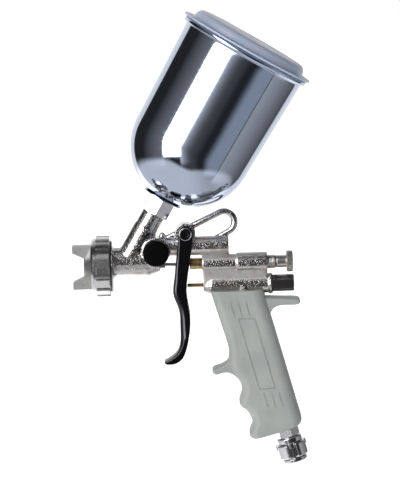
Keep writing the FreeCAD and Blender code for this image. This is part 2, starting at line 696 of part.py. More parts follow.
def horn(side):
    """Horn above (side 1) or below (side -1) the centre hole."""
    tip_corner = 0.3
    outline = [
        (HORN_TIP_X, side * HORN_TIP_INNER), (HORN_TIP_X, side * (HORN_OUTER - tip_corner)),
        (HORN_TIP_X + tip_corner, side * HORN_OUTER), (HORN_ROOT_X, side * HORN_OUTER),
        (HORN_ROOT_X, side * HORN_ROOT_INNER), (HORN_FOOT_X, side * HORN_ROOT_INNER),
    ]
    return polygon_plate(outline, -HORN_WIDTH / 2.0, HORN_WIDTH / 2.0)


def horn_jets(side):
    """The two jets in a horn's inner face and the small one in the cap's face below it."""
    lean = HORN_JET_LEAN if side > 0 else 180.0 - HORN_JET_LEAN
    drills = [rod(FACE_JET_R, CAP_FACE_X - 1, CAP_INSIDE_X[0] + 1, Vector(0, side * FACE_JET_REACH, 0))]
    for reach in HORN_JETS_X:
        origin = Vector(reach, 0, side * (HORN_TIP_INNER - 0.9))
        drills.append(rod(HORN_JET_R, -1.2, 2.2, origin, lean))
    return drills


def air_cap():
    """Air cap: flange, face, centre hole and two horns."""
    cap_front, cap_back = CAP_FLANGE_X
    face = turned([
        (0, CAP_FACE_X), (HORN_ROOT_INNER, CAP_FACE_X), (HORN_ROOT_INNER + 0.5, HORN_FOOT_X),
        (CAP_CONE_R, CAP_CONE_X), (CAP_FACE_R, cap_front - 1.0), (CAP_FACE_R, cap_front),
        (CAP_FLANGE_R, cap_front), (CAP_FLANGE_R, cap_back), (0, cap_back),
    ])
    limit = rod(RING_LIP_R - MOVING_GAP, HORN_TIP_X - 1, cap_front)
    horns = [horn(1).common(limit), horn(-1).common(limit)]
    hollow = turned([
        (0, CAP_INSIDE_X[0]), (CAP_INSIDE_R[0], CAP_INSIDE_X[0]), (CAP_INSIDE_R[1], CAP_INSIDE_X[1]),
        (CAP_INSIDE_R[1], cap_back + 1), (0, cap_back + 1),
    ])
    centre = rod(CAP_HOLE_R, CAP_FACE_X - 1, CAP_INSIDE_X[0] + 1)
    return fused([face] + horns).cut(Part.makeCompound([hollow, centre] + horn_jets(1) + horn_jets(-1)))


def air_cap_ring():
    """Ring with fourteen grip pads that clamps the air cap."""
    inner = HEAD_R + MOVING_GAP
    shell = turned([
        (RING_LIP_R, RING_FRONT), (RING_R - 1.6, RING_FRONT), (RING_R, RING_FRONT + 1.6), (RING_R, RING_BACK),
        (inner, RING_BACK), (inner, RING_LIP_BACK), (RING_LIP_R, RING_LIP_BACK),
    ])
    band = turned([
        (RING_R - 1.0, PAD_FRONT), (RING_PAD_R - 0.5, PAD_FRONT), (RING_PAD_R, PAD_FRONT + 0.5),
        (RING_PAD_R, RING_BACK - 0.4), (RING_PAD_R - 0.4, RING_BACK), (RING_R - 1.0, RING_BACK),
    ])
    bars = []
    for index in range(PAD_COUNT):
        bar = Part.makeBox(20.0, RING_PAD_R + 2, PAD_WIDTH, Vector(PAD_FRONT - 2, 0, -PAD_WIDTH / 2.0))
        bar.rotate(Vector(0, 0, 0), Vector(1, 0, 0), 180.0 + 360.0 * index / PAD_COUNT)
        bars.append(bar.common(band))
    return fused([shell] + bars)


# ---------------------------------------------------------------- trigger
def trigger_outline():
    """Side view of the trigger, as a face in the middle plane."""
    top = Part.makeLine(Vector(TRIGGER_REAR[-1][0], 0, TRIGGER_REAR[-1][1]),
                        Vector(TRIGGER_FRONT[0][0], 0, TRIGGER_FRONT[0][1]))
    return Part.Face(Part.Wire([curve(TRIGGER_FRONT), curve(TRIGGER_TIP), curve(TRIGGER_REAR), top]))


def trigger():
    """Two arms on the pivot that join in one hollow finger plate."""
    outline = trigger_outline()
    whole = plate(outline, -ARM_OUT, ARM_OUT)
    front_edges = []
    for edge in whole.Edges:
        box = edge.BoundBox
        if abs(box.YMax - box.YMin) < 0.01 and box.ZMax - box.ZMin > 80.0 and box.XMin < -9.0:
            front_edges.append(edge)
    whole = whole.makeFillet(TRIGGER_FRONT_ROUND[0], TRIGGER_FRONT_ROUND[1], front_edges)
    pocket_front = [(x + TRIGGER_WALL, z) for x, z in TRIGGER_FRONT[3:11]]
    behind = 20.0
    high = Vector(pocket_front[0][0], 0, pocket_front[0][1])
    low = Vector(pocket_front[-1][0], 0, pocket_front[-1][1])
    above = Vector(high.x, 0, TRIGGER_TOP_Z)
    pocket = Part.Wire([
        Part.makeLine(Vector(behind, 0, TRIGGER_TOP_Z), above),
        Part.makeLine(above, high),
        curve(pocket_front),
        Part.makeLine(low, Vector(behind, 0, low.z)),
        Part.makeLine(Vector(behind, 0, low.z), Vector(behind, 0, TRIGGER_TOP_Z)),
    ])
    whole = whole.cut(plate(Part.Face(pocket), -ARM_IN, ARM_IN))
    whole = whole.cut(Part.makeBox(60.0, 2 * ARM_IN, 60.0, Vector(-30.0, -ARM_IN, TRIGGER_TOP_Z)))
    pieces = [whole]
    for side in (-1, 1):
        inner = side * ARM_IN
        outer = side * ARM_OUT
        pieces.append(cross_rod(ARM_EYE_R, min(inner, outer), max(inner, outer), PIVOT.x, PIVOT.z))
        pad_end = side * NEEDLE_PAD_IN
        arm = side * (ARM_IN + 0.5)
        pieces.append(cross_rod(NEEDLE_PAD_R, min(pad_end, arm), max(pad_end, arm), PIVOT.x, 0))
    pieces.append(cross_rod(VALVE_PAD_R, -ARM_IN - 0.5, ARM_IN + 0.5, VALVE_PAD_X, VALVE_Z))
    eye = cross_rod(PIN_R + RUNNING_GAP, -ARM_OUT - 1, ARM_OUT + 1, PIVOT.x, PIVOT.z)
    above = Part.makeBox(30.0, 2 * ARM_OUT, 20.0, Vector(-15.0, -ARM_OUT, PIVOT.z))
    corner_trim = above.cut(cross_rod(ARM_EYE_R, -ARM_OUT - 1, ARM_OUT + 1, PIVOT.x, PIVOT.z))
    return fused(pieces).cut(Part.makeCompound([eye, corner_trim, *tip_trims()]))


def tip_trims():
    """Wedges that narrow the trigger's tip."""
    wedges = []
    for side in (-1, 1):
        outer = side * (ARM_OUT + 1.0)
        points = [
            Vector(-30.0, side * ARM_OUT, TIP_TRIM_Z[0]), Vector(-30.0, side * TIP_TRIM_HALF, TIP_TRIM_Z[1]),
            Vector(-30.0, outer, TIP_TRIM_Z[1]), Vector(-30.0, outer, TIP_TRIM_Z[0]),
        ]
        wedges.append(Part.Face(Part.makePolygon([*points, points[0]])).extrude(Vector(60.0, 0, 0)))
    return wedges


def trigger_pin():
    """Pin with a dished head on the left and a plain tail on the right."""
    head = cross_rod(PIN_HEAD_R, PIN_HEAD_Y[0], PIN_HEAD_Y[1], PIVOT.x, PIVOT.z)
    shaft = cross_rod(PIN_R, PIN_HEAD_Y[1], PIN_TAIL_Y, PIVOT.x, PIVOT.z)
    dish = cross_rod(2.2, PIN_HEAD_Y[0] - 1, PIN_HEAD_Y[0] + 0.8, PIVOT.x, PIVOT.z)
    return head.fuse(shaft).cut(dish)


def trigger_pin_washers():
    """Bright washer on the pin at either side."""
    washers = []
    for start in (PIN_HEAD_Y[1], ARM_OUT + 0.1):
        disc = cross_rod(PIN_WASHER_R, start, start + PIN_WASHER_THICK, PIVOT.x, PIVOT.z)
        washers.append(disc.cut(cross_rod(PIN_R + SEAT_GAP, start - 1, start + 2, PIVOT.x, PIVOT.z)))
    rim = cross_rod(PIN_WASHER_R, PIN_HEAD_Y[0] + 0.5, PIN_HEAD_Y[1], PIVOT.x, PIVOT.z)
    rim = rim.cut(cross_rod(PIN_HEAD_R + SEAT_GAP, -20.0, 0.0, PIVOT.x, PIVOT.z))
    washers[0] = washers[0].fuse(rim).removeSplitter()
    return Part.makeCompound(washers)


def trigger_pin_nut():
    """Nut on the pin's tail."""
    start = ARM_OUT + 0.1 + PIN_WASHER_THICK + SEAT_GAP
    nut = hexagon(PIN_NUT_ACROSS, start, start + 1.8, tilt=0.0)
    nut = nut.cut(Part.makeCylinder(PIN_R + SEAT_GAP, 10.0, Vector(0, 0, start - 1)))
    nut.rotate(Vector(0, 0, 0), Vector(1, 0, 0), -90.0)
    nut.translate(PIVOT)
    return nut


# ---------------------------------------------------------------- needle and adjuster
def fluid_needle():
    """Needle from the nozzle's tip to the spring."""
    return turned([
        (0, NEEDLE_TIP_X), (NEEDLE_TIP_R, NEEDLE_TIP_X), (NEEDLE_R, NEEDLE_TAPER_X),
        (NEEDLE_R, NEEDLE_TAIL_X), (0, NEEDLE_TAIL_X),
    ])


def needle_collar():
    """Brass collar that the trigger pulls the needle by."""
    bore = NEEDLE_R + 0.02
    return turned([
        (bore, COLLAR_X[0]), (COLLAR_R - 0.4, COLLAR_X[0]), (COLLAR_R, COLLAR_X[0] + 0.4),
        (COLLAR_R, COLLAR_X[1]), (bore, COLLAR_X[1]),
    ])


def needle_packing():
    """Soft packing round the needle."""
    return tube(PACKING_R - SEAT_GAP, NEEDLE_R + RUNNING_GAP, PACKING_X[0] + SEAT_GAP, PACKING_X[1])


def packing_gland_nut():
    """Nut that squeezes the packing."""
    screw = rod(PACKING_R - SEAT_GAP, GLAND_X[0], GLAND_X[1] + SEAT_GAP)
    head = hexagon(GLAND_HEX, GLAND_X[1] + SEAT_GAP, GLAND_X[2])
    return screw.fuse(head).cut(rod(NEEDLE_R + RUNNING_GAP, GLAND_X[0] - 1, GLAND_X[2] + 1))


def spring_seat():
    """Disc between the needle spring and the adjusting screw."""
    return tube(SPRING_SEAT_R, NEEDLE_R + 0.4, SPRING_SEAT_X[0], SPRING_SEAT_X[1])


def fluid_knob():
    """Adjusting screw with a knurled head."""
    front, thread_end = KNOB_THREAD_X
    head_front, head_back = KNOB_HEAD_X
    bevel = 0.5
    body = turned([
        (0, front), (KNOB_THREAD_R - bevel, front), (KNOB_THREAD_R, front + bevel),
        (KNOB_THREAD_R, thread_end), (KNOB_STUD_R, thread_end + 0.4),
        (KNOB_STUD_R, head_front), (KNOB_HEAD_R - bevel, head_front),
        (KNOB_HEAD_R, head_front + bevel), (KNOB_HEAD_R, head_back - bevel), (KNOB_HEAD_R - bevel, head_back),
        (0, head_back),
    ])
    cuts = [rod(KNOB_TAIL_BORE[0], front - 1, KNOB_TAIL_BORE[1])]
    for index in range(KNURL_COUNT):
        angle = 2.0 * math.pi * index / KNURL_COUNT
        origin = Vector(0, (KNOB_HEAD_R + 0.2) * math.cos(angle), (KNOB_HEAD_R + 0.2) * math.sin(angle))
        cuts.append(rod(KNURL_R, head_front - 1, head_back + 1, origin))
    return body.cut(Part.makeCompound(cuts))


# ---------------------------------------------------------------- air valve
def valve_guide():
    """Front gland that the valve stem slides in."""
    return tube(GUIDE_R - SEAT_GAP, STEM_R + RUNNING_GAP, VALVE_FRONT + 0.3, VALVE_ROOM_X - 0.1, VALVE_ORIGIN)


def valve_seat():
    """Ring that the poppet closes on."""
    return tube(VALVE_ROOM_R - SEAT_GAP, SEAT_BORE_R, SEAT_X[0], SEAT_X[1], VALVE_ORIGIN)


def valve_stem():
    """Brass stem with a rounded nose."""
    nose, tail = STEM_X
    return turned([
        (0, nose), (STEM_R - 0.5, nose), (STEM_R, nose + 0.5), (STEM_R, tail), (0, tail),
    ], VALVE_ORIGIN)


def valve_poppet():
    """Poppet on the stem's end."""
    return turned([
        (0, POPPET_X[0] + 0.02), (SEAT_BORE_R + 0.6, POPPET_X[0] + 0.02), (POPPET_R, POPPET_X[0] + 0.9),
        (POPPET_R, POPPET_X[1]), (0, POPPET_X[1]),
    ], VALVE_ORIGIN)


def valve_cap():
    """Hexagonal cap that closes the valve housing."""
    spigot = rod(VALVE_ROOM_R - SEAT_GAP, VALVE_CAP_X[0], VALVE_CAP_X[1], VALVE_ORIGIN)
    head = hexagon(VALVE_CAP_ACROSS, VALVE_CAP_X[1], VALVE_CAP_X[2], VALVE_ORIGIN, turn=VALVE_CAP_TURN)
    bore = rod(VALVE_CAP_BORE_R, VALVE_CAP_X[0] - 1, VALVE_CAP_X[1] - CAP_FLOOR, VALVE_ORIGIN)
    return spigot.fuse(head).cut(bore)


def valve_cap_gasket():
    """Gasket under the valve cap."""
    return tube(VALVE_COLLAR_R - 0.6, VALVE_ROOM_R + 0.02, VALVE_COLLAR_X[1], VALVE_CAP_X[1], VALVE_ORIGIN)


# ---------------------------------------------------------------- fan control
def across_gun(shape):
    """Turn a shape drawn along Z so that it points to the left side, at the fan control."""
    shape.rotate(Vector(0, 0, 0), Vector(1, 0, 0), 90.0)
    shape.translate(Vector(FAN_X, 0, FAN_Z))
    return shape


def fan_valve_bush():
    """Bush that the fan spindle turns in."""
    boss_face = -FAN_BOSS_Y[0]
    bush = Part.makeCylinder(FAN_CHAMBER_R - SEAT_GAP, 5.0, Vector(0, 0, boss_face - 5.0))
    head = hexagon(FAN_BUSH_HEX, boss_face, boss_face + 2.6, tilt=0.0)
    hole = Part.makeCylinder(FAN_SPINDLE_R + RUNNING_GAP, 12.0, Vector(0, 0, boss_face - 6.0))
    return across_gun(bush.fuse(head).cut(hole))


def fan_spindle():
    """Spindle whose plug throttles the horn air."""
    knob_back = -FAN_KNOB_Y[1]
    profile = [
        (0, -4.5), (1.0, -4.5), (FAN_PLUG_R, 1.0), (FAN_PLUG_R, 3.6), (FAN_SPINDLE_R, 3.6),
        (FAN_SPINDLE_R, knob_back + FAN_SOCKET), (0, knob_back + FAN_SOCKET),
    ]
    return across_gun(turned(profile, tilt=0.0))


def fan_knob():
    """Black knob with a fluted rim."""
    face = -FAN_KNOB_Y[0]
    back = -FAN_KNOB_Y[1]
    disc = turned([
        (0, back), (FAN_KNOB_R - 0.6, back), (FAN_KNOB_R, back + 0.6), (FAN_KNOB_R, face - 1.0),
        (FAN_KNOB_R - 0.3, face - 0.3), (FAN_KNOB_R - 1.0, face), (0, face),
    ], tilt=0.0)
    cuts = [Part.makeCylinder(FAN_SPINDLE_R + 0.02, FAN_SOCKET + 0.1, Vector(0, 0, back))]
    for index in range(FLUTE_COUNT):
        angle = 2.0 * math.pi * index / FLUTE_COUNT
        spot = Vector((FAN_KNOB_R + 0.25) * math.cos(angle), (FAN_KNOB_R + 0.25) * math.sin(angle), back - 1)
        cuts.append(Part.makeCylinder(FLUTE_R, face - back + 2, spot))
    return across_gun(disc.cut(Part.makeCompound(cuts)))


# ---------------------------------------------------------------- cup and lid
def cup_wall_side(inset):
    """Half profile of the cup, moved inwards by inset: flat bottom, ball and wall."""
    ball = CUP_BALL_R - inset
    bottom = CUP_BOTTOM_S + inset
    drop = CUP_BALL_S - bottom
    flat = math.sqrt(ball ** 2 - drop ** 2)
    middle = math.radians(45.0)
    low = Vector(flat, 0, bottom)
    side = Vector(ball * math.cos(middle), 0, CUP_BALL_S - ball * math.sin(middle))
    high = Vector(ball, 0, CUP_BALL_S)
    return low, side, high


def cup_shell():
    """Spun cup: flat seat, round bottom, slightly tapered wall and rolled bead."""
    low, side, high = cup_wall_side(0.0)
    inner_low, inner_side, inner_high = cup_wall_side(CUP_WALL)
    top = Vector(CUP_TOP_R, 0, CUP_TOP_S)
    bead_middle = CUP_TOP_R - CUP_WALL + BEAD_R
    crown = Vector(bead_middle, 0, CUP_TOP_S + 2 * BEAD_R)
    bead_side = Vector(bead_middle + BEAD_R, 0, CUP_TOP_S + BEAD_R)
    bead_start = Vector(bead_middle, 0, CUP_TOP_S)
    inner_top = Vector(CUP_TOP_R - CUP_WALL, 0, CUP_TOP_S + BEAD_R)
    inner_turn = Vector(bead_middle - BEAD_R * math.sin(math.radians(45)), 0,
                        CUP_TOP_S + BEAD_R + BEAD_R * math.cos(math.radians(45)))
    hole_out = Vector(CUP_HOLE_R, 0, CUP_BOTTOM_S)
    hole_in = Vector(CUP_HOLE_R, 0, CUP_BOTTOM_S + CUP_WALL)
    edges = [
        Part.makeLine(hole_out, low),
        Part.Arc(low, side, high).toShape(),
        Part.makeLine(high, top),
        Part.makeLine(top, bead_start),
        Part.Arc(bead_start, bead_side, crown).toShape(),
        Part.Arc(crown, inner_turn, inner_top).toShape(),
        Part.makeLine(inner_top, inner_high),
        Part.Arc(inner_high, inner_side, inner_low).toShape(),
        Part.makeLine(inner_low, hole_in),
        Part.makeLine(hole_in, hole_out),
    ]
    solid = Part.Face(Part.Wire(edges)).revolve(Vector(0, 0, 0), UP, 360.0)
    return on_axis(solid, CUP_SEAT, CUP_TILT)


def cup_nut():
    """Hexagonal adapter: screws onto the gun's neck and holds the cup on its stud."""
    nut = hexagon(CUP_NUT_ACROSS, CUP_NUT_S[0], CUP_NUT_S[1], CUP_SEAT, CUP_TILT, CUP_NUT_TURN)
    stud = rod(CUP_STUD_R, CUP_NUT_S[1], CUP_STUD_TOP, CUP_SEAT, CUP_TILT)
    paint = rod(CUP_PAINT_R, NECK_STUD_TOP, CUP_STUD_TOP + 1, CUP_SEAT, CUP_TILT)
    thread = rod(NECK_STUD_R + RUNNING_GAP, CUP_NUT_S[0] - 1, NECK_STUD_TOP + MOVING_GAP, CUP_SEAT, CUP_TILT)
    return nut.fuse(stud).cut(Part.makeCompound([paint, thread]))


def cup_washer():
    """Wide thin washer under the cup."""
    top = CUP_BOTTOM_S - 0.02
    return tube(CUP_WASHER_R, CUP_HOLE_R, CUP_NUT_S[1] + 0.02, top, CUP_SEAT, CUP_TILT)


def cup_lock_nut():
    """Nut inside the cup."""
    nut = hexagon(CUP_NUT_ACROSS, LOCK_NUT_S[0], LOCK_NUT_S[1], CUP_SEAT, CUP_TILT)
    return nut.cut(rod(CUP_STUD_R + SEAT_GAP, LOCK_NUT_S[0] - 1, LOCK_NUT_S[1] + 1, CUP_SEAT, CUP_TILT))


def cup_lid():
    """Press-in lid: brim, raised round top and a plug skirt inside the cup."""
    brim_low, brim_high = LID_BRIM_S
    diagonal = 1.0 - math.sqrt(0.5)
    edge_foot = LID_TOP_S - LID_EDGE_R
    inner_r = LID_DOME_R - LID_WALL
    inner_edge = LID_EDGE_R - LID_WALL
    lines = [
        Vector(0, 0, LID_TOP_S), Vector(LID_DOME_R - LID_EDGE_R, 0, LID_TOP_S),
        Vector(LID_DOME_R - diagonal * LID_EDGE_R, 0, LID_TOP_S - diagonal * LID_EDGE_R),
        Vector(LID_DOME_R, 0, edge_foot), Vector(LID_DOME_R + 0.6, 0, brim_high + 0.5),
        Vector(LID_BRIM_R - 0.6, 0, brim_high), Vector(LID_BRIM_R, 0, brim_high - 0.5),
        Vector(LID_BRIM_R, 0, brim_low + 0.4), Vector(LID_BRIM_R - 0.4, 0, brim_low),
        Vector(LID_PLUG_R, 0, brim_low), Vector(LID_PLUG_R, 0, LID_PLUG_BOTTOM),
        Vector(inner_r, 0, LID_PLUG_BOTTOM), Vector(inner_r, 0, edge_foot),
        Vector(inner_r - diagonal * inner_edge, 0, LID_TOP_S - LID_WALL - diagonal * inner_edge),
        Vector(inner_r - inner_edge, 0, LID_TOP_S - LID_WALL), Vector(0, 0, LID_TOP_S - LID_WALL),
    ]
    edges = []
    arcs = (1, 12)
    index = 0
    while index < len(lines):
        if index in arcs:
            edges.append(Part.Arc(lines[index], lines[index + 1], lines[index + 2]).toShape())
            index += 2
        else:
            edges.append(Part.makeLine(lines[index], lines[(index + 1) % len(lines)]))
            index += 1
    solid = Part.Face(Part.Wire(edges)).revolve(Vector(0, 0, 0), UP, 360.0)
    vent = Part.makeCylinder(LID_VENT_R, 10.0, Vector(0, 0, LID_TOP_S - 5.0))
    return on_axis(solid.cut(vent), CUP_SEAT, CUP_TILT)


# ---------------------------------------------------------------- air inlet
def air_passage_plug():
    """Screw plug at the back of the top tube, with a driver slot."""
    origin = Vector(0, 0, TUBE_Z)
    plug = rod(PLUG_R - SEAT_GAP, PLUG_X[0] + SEAT_GAP, PLUG_X[1], origin)
    return plug.cut(Part.makeBox(2.0, 12.0, 1.2, Vector(PLUG_X[1] - 1.2, -6.0, TUBE_Z - 0.6)))


def inlet_nipple():
    """Hexagon nipple screwed into the handle's tube."""
    upper = rod(NIPPLE_THREAD_R, NIPPLE_TOP + 0.1, NIPPLE_HEX_S[0], INLET_MOUTH, INLET_TILT)
    middle = hexagon(NIPPLE_HEX_ACROSS, NIPPLE_HEX_S[0], NIPPLE_HEX_S[1], INLET_MOUTH, INLET_TILT, turn=12.0)
    lower = rod(NIPPLE_THREAD_R, NIPPLE_HEX_S[1], NIPPLE_BOTTOM, INLET_MOUTH, INLET_TILT)
    bore = rod(NIPPLE_BORE_R, NIPPLE_TOP - 1, NIPPLE_BOTTOM + 1, INLET_MOUTH, INLET_TILT)
    return fused([upper, middle, lower]).cut(bore)


def coupler_body():
    """Coupling body with the mouth that the hose plug enters."""
    collar_top, collar_low = COUPLER_COLLAR_S
    thread = NIPPLE_THREAD_R + SEAT_GAP
    mouth_end = -COUPLER_BORE_LENGTH
    step = NIPPLE_BOTTOM + 0.05
    return turned([
        (thread, collar_top), (COUPLER_COLLAR_R - 0.6, collar_top), (COUPLER_COLLAR_R, collar_top + 0.6),
        (COUPLER_COLLAR_R, collar_low - 0.4), (COUPLER_COLLAR_R - 0.4, collar_low),
        (COUPLER_NECK_R, collar_low), (COUPLER_NECK_R, COUPLER_LIP_S - 0.3), (COUPLER_LIP_R, COUPLER_LIP_S),
        (COUPLER_LIP_R, -0.8), (COUPLER_LIP_R - 0.8, 0), (COUPLER_BORE_R, 0), (COUPLER_BORE_R, mouth_end),
        (COUPLER_SEAL_R, mouth_end), (COUPLER_SEAL_R, COUPLER_SEAL_S), (NIPPLE_BORE_R, COUPLER_SEAL_S),
        (NIPPLE_BORE_R, step), (thread, step),
    ], INLET_MOUTH, INLET_TILT)


def coupler_seal():
    """Rubber seal in its groove at the bottom of the mouth."""
    outer = COUPLER_SEAL_R - SEAT_GAP
    top = COUPLER_SEAL_S + SEAT_GAP
    return tube(outer, NIPPLE_BORE_R, top, -COUPLER_BORE_LENGTH - SEAT_GAP, INLET_MOUTH, INLET_TILT)


def coupler_sleeve():
    """Turning bayonet sleeve: a band with four claws and two finger lugs."""
    inner = COUPLER_NECK_R + MOVING_GAP
    band = tube(SLEEVE_R, inner, SLEEVE_S[0], SLEEVE_S[1], NEEDLE_ORIGIN, 0.0)
    top = SLEEVE_S[0]
    bevel = 0.8
    claw_ring = turned([
        (inner, top), (CLAW_R - bevel, top), (CLAW_R, top + bevel), (CLAW_R, CLAW_BOTTOM - bevel),
        (CLAW_R - bevel, CLAW_BOTTOM), (inner, CLAW_BOTTOM),
    ], tilt=0.0)
    lug_ring = tube(LUG_R, inner, SLEEVE_S[0], SLEEVE_S[1], NEEDLE_ORIGIN, 0.0)
    pieces = [band]
    for index in range(CLAW_COUNT):
        bar = Part.makeBox(20.0, CLAW_WIDTH, 20.0, Vector(0, -CLAW_WIDTH / 2.0, SLEEVE_S[0] - 1))
        bar.rotate(Vector(0, 0, 0), UP, 45.0 + 360.0 * index / CLAW_COUNT)
        pieces.append(bar.common(claw_ring))
    for turn in (0.0, 180.0):
        bar = Part.makeBox(20.0, LUG_WIDTH, 20.0, Vector(0, -LUG_WIDTH / 2.0, SLEEVE_S[0] - 1))
        bar.rotate(Vector(0, 0, 0), UP, turn)
        pieces.append(bar.common(lug_ring))
    return on_axis(fused(pieces), INLET_MOUTH, INLET_TILT)


# ---------------------------------------------------------------- every part
def needle_spring():
    """Spring that closes the needle."""
    return spring(NEEDLE_SPRING_R, SPRING_WIRE_R, COLLAR_X[1] + 0.2, SPRING_SEAT_X[0] - 0.2, 9, NEEDLE_ORIGIN)


def valve_spring():
    """Spring that closes the air valve."""
    floor = VALVE_CAP_X[1] - CAP_FLOOR
    return spring(VALVE_SPRING_R, SPRING_WIRE_R, POPPET_X[1] + 0.2, floor - 0.2, 11, VALVE_ORIGIN)


NODES = [
    gun_body, grip, head_washer, fluid_nozzle, air_diffuser, needle_packing, packing_gland_nut, needle_spring,
    valve_guide, valve_seat, valve_spring, valve_cap, valve_cap_gasket, fan_valve_bush, trigger_pin,
    trigger_pin_washers, trigger_pin_nut, air_passage_plug, inlet_nipple, coupler_body, coupler_seal, air_cap,
    air_cap_ring, trigger, fluid_needle, needle_collar, valve_stem, valve_poppet, spring_seat, fluid_knob,
    fan_spindle, fan_knob, cup_shell, cup_nut, cup_washer, cup_lock_nut, cup_lid, coupler_sleeve,
]

for make in NODES:
    part_shape = make()
    part_shape.translate(INLET_MOUTH * -1.0)
    part_shape.exportStep("parts/" + make.__name__ + ".step")
    box = part_shape.BoundBox
    print(make.__name__, len(part_shape.Solids), part_shape.isValid(), round(part_shape.Volume, 1),
          [round(value, 1) for value in (box.XMin, box.YMin, box.ZMin, box.XMax, box.YMax, box.ZMax)])
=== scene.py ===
import json
import math

import bmesh
import bpy
from bpy.props import FloatProperty, FloatVectorProperty, IntProperty, PointerProperty
from bpy.types import Operator, Panel, PropertyGroup
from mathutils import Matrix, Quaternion, Vector


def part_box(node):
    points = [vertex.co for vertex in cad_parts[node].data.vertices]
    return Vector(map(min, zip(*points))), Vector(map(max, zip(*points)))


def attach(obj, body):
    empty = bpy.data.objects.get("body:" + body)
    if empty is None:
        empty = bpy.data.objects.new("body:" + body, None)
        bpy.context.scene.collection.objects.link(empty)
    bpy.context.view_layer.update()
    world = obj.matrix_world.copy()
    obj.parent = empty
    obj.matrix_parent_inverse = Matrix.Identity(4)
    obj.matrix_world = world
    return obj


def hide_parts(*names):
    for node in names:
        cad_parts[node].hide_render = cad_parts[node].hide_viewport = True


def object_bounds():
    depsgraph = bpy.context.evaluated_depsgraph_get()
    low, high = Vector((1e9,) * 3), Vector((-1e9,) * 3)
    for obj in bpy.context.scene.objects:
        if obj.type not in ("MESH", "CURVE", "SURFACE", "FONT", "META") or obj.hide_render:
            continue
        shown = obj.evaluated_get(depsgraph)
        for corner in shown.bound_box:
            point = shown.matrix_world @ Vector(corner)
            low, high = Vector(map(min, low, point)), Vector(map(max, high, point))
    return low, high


bl_info = {
    "name": "Gravity Cup Spray Gun",
    "version": (1, 0, 0),
    "blender": (4, 5, 0),
    "location": "View3D > Sidebar > Spray Gun",
    "description": "Finishes a gravity cup spray gun round its CAD frame",
    "category": "Object",
}

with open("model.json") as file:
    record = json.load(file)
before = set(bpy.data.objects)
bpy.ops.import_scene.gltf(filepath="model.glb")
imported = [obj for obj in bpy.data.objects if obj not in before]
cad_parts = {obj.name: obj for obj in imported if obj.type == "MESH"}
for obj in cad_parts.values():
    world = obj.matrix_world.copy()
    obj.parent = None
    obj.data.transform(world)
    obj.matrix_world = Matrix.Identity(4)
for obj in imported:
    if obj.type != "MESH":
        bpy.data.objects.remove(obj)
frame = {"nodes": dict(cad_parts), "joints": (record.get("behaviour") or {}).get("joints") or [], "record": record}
CAD_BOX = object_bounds()

MM = 0.001
JOINTS = {joint["name"]: joint for joint in frame["joints"]}


# ------------------------------------------------------------ axes
class Axis:
    """A straight line that turned pieces are drawn round, with stations in millimetres along it."""

    def __init__(self, origin, direction):
        self.origin = Vector(origin)
        self.along = Vector(direction).normalized()
        self.across = Vector((0.0, 1.0, 0.0))
        if abs(self.along.y) > 0.9:
            self.across = Vector((1.0, 0.0, 0.0))
        self.up = self.along.cross(self.across)

    def point(self, radius, angle, station):
        spoke = self.across * math.cos(angle) + self.up * math.sin(angle)
        return self.origin + (self.along * station + spoke * radius) * MM


def box_middle(node):
    low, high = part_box(node)
    return (low + high) / 2


def joint_axis(name):
    return Axis(JOINTS[name]["pos_m"], JOINTS[name]["axis"])


CUP = joint_axis("cup_turn")
INLET = joint_axis("bayonet_turn")
NEEDLE = Axis((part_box("fluid_nozzle")[0].x, 0.0, box_middle("fluid_needle").z), (1.0, 0.0, 0.0))
KNOB = Axis((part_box("fluid_knob")[0].x, 0.0, NEEDLE.origin.z), (1.0, 0.0, 0.0))
PIN = Axis((JOINTS["trigger_pull"]["pos_m"][0], 0.0, JOINTS["trigger_pull"]["pos_m"][2]), (0.0, 1.0, 0.0))
FAN = Axis((box_middle("fan_knob").x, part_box("fan_knob")[0].y, box_middle("fan_knob").z), (0.0, 1.0, 0.0))


# ------------------------------------------------------------ settings
def length(name, about, value):
    return FloatProperty(name=name, description=about, default=value * MM, unit="LENGTH", precision=5)


def colour(name, about, value):
    return FloatVectorProperty(
        name=name, description=about, default=value, subtype="COLOR", size=3, min=0, max=1,
    )


def angle(name, about, degrees):
    return FloatProperty(name=name, description=about, default=math.radians(degrees), subtype="ANGLE")


def passes(name, about, value):
    return IntProperty(name=name, description=about, default=value, min=0)


class CastingSettings(PropertyGroup):
    voxel: length("Cell", "Size of the cells that round the casting's corners", 0.5)
    rounding: passes("Rounding", "Passes that soften the casting's corners", 3)
    wave: length("Wave", "Height of the slow waves in the cast skin", 0.04)
    grain: length("Grain", "Width of one grain of the plated skin", 0.75)
    plate: colour("Plate", "Colour of the nickel plate", (0.60, 0.585, 0.58))
    stain: colour("Stain", "Colour of the plate where paint has dulled it", (0.36, 0.29, 0.25))


class GripSettings(PropertyGroup):
    nylon: colour("Nylon", "Colour of the moulded nylon", (0.27, 0.285, 0.275))


class TriggerSettings(PropertyGroup):
    voxel: length("Cell", "Size of the cells that round the trigger's edges", 0.34)
    rounding: passes("Rounding", "Passes that soften the trigger's edges", 4)
    chrome: colour("Black chrome", "Colour of the black chrome", (0.055, 0.055, 0.06))


class CupSettings(PropertyGroup):
    wall: length("Wall", "Thickness of the cup's wall", 1.0)
    bead: length("Bead", "Radius of the rolled edge", 1.9)
    ball: length("Ball", "Radius of the round bottom", 44.1)
    ball_station: length("Ball centre", "Height of the round bottom's centre", 42.55)
    top_radius: length("Top radius", "Radius of the wall below the rolled edge", 46.35)
    top_station: length("Top", "Height of the wall's top", 118.2)
    polish: colour("Polish", "Colour of the polished aluminium", (0.45, 0.505, 0.625))


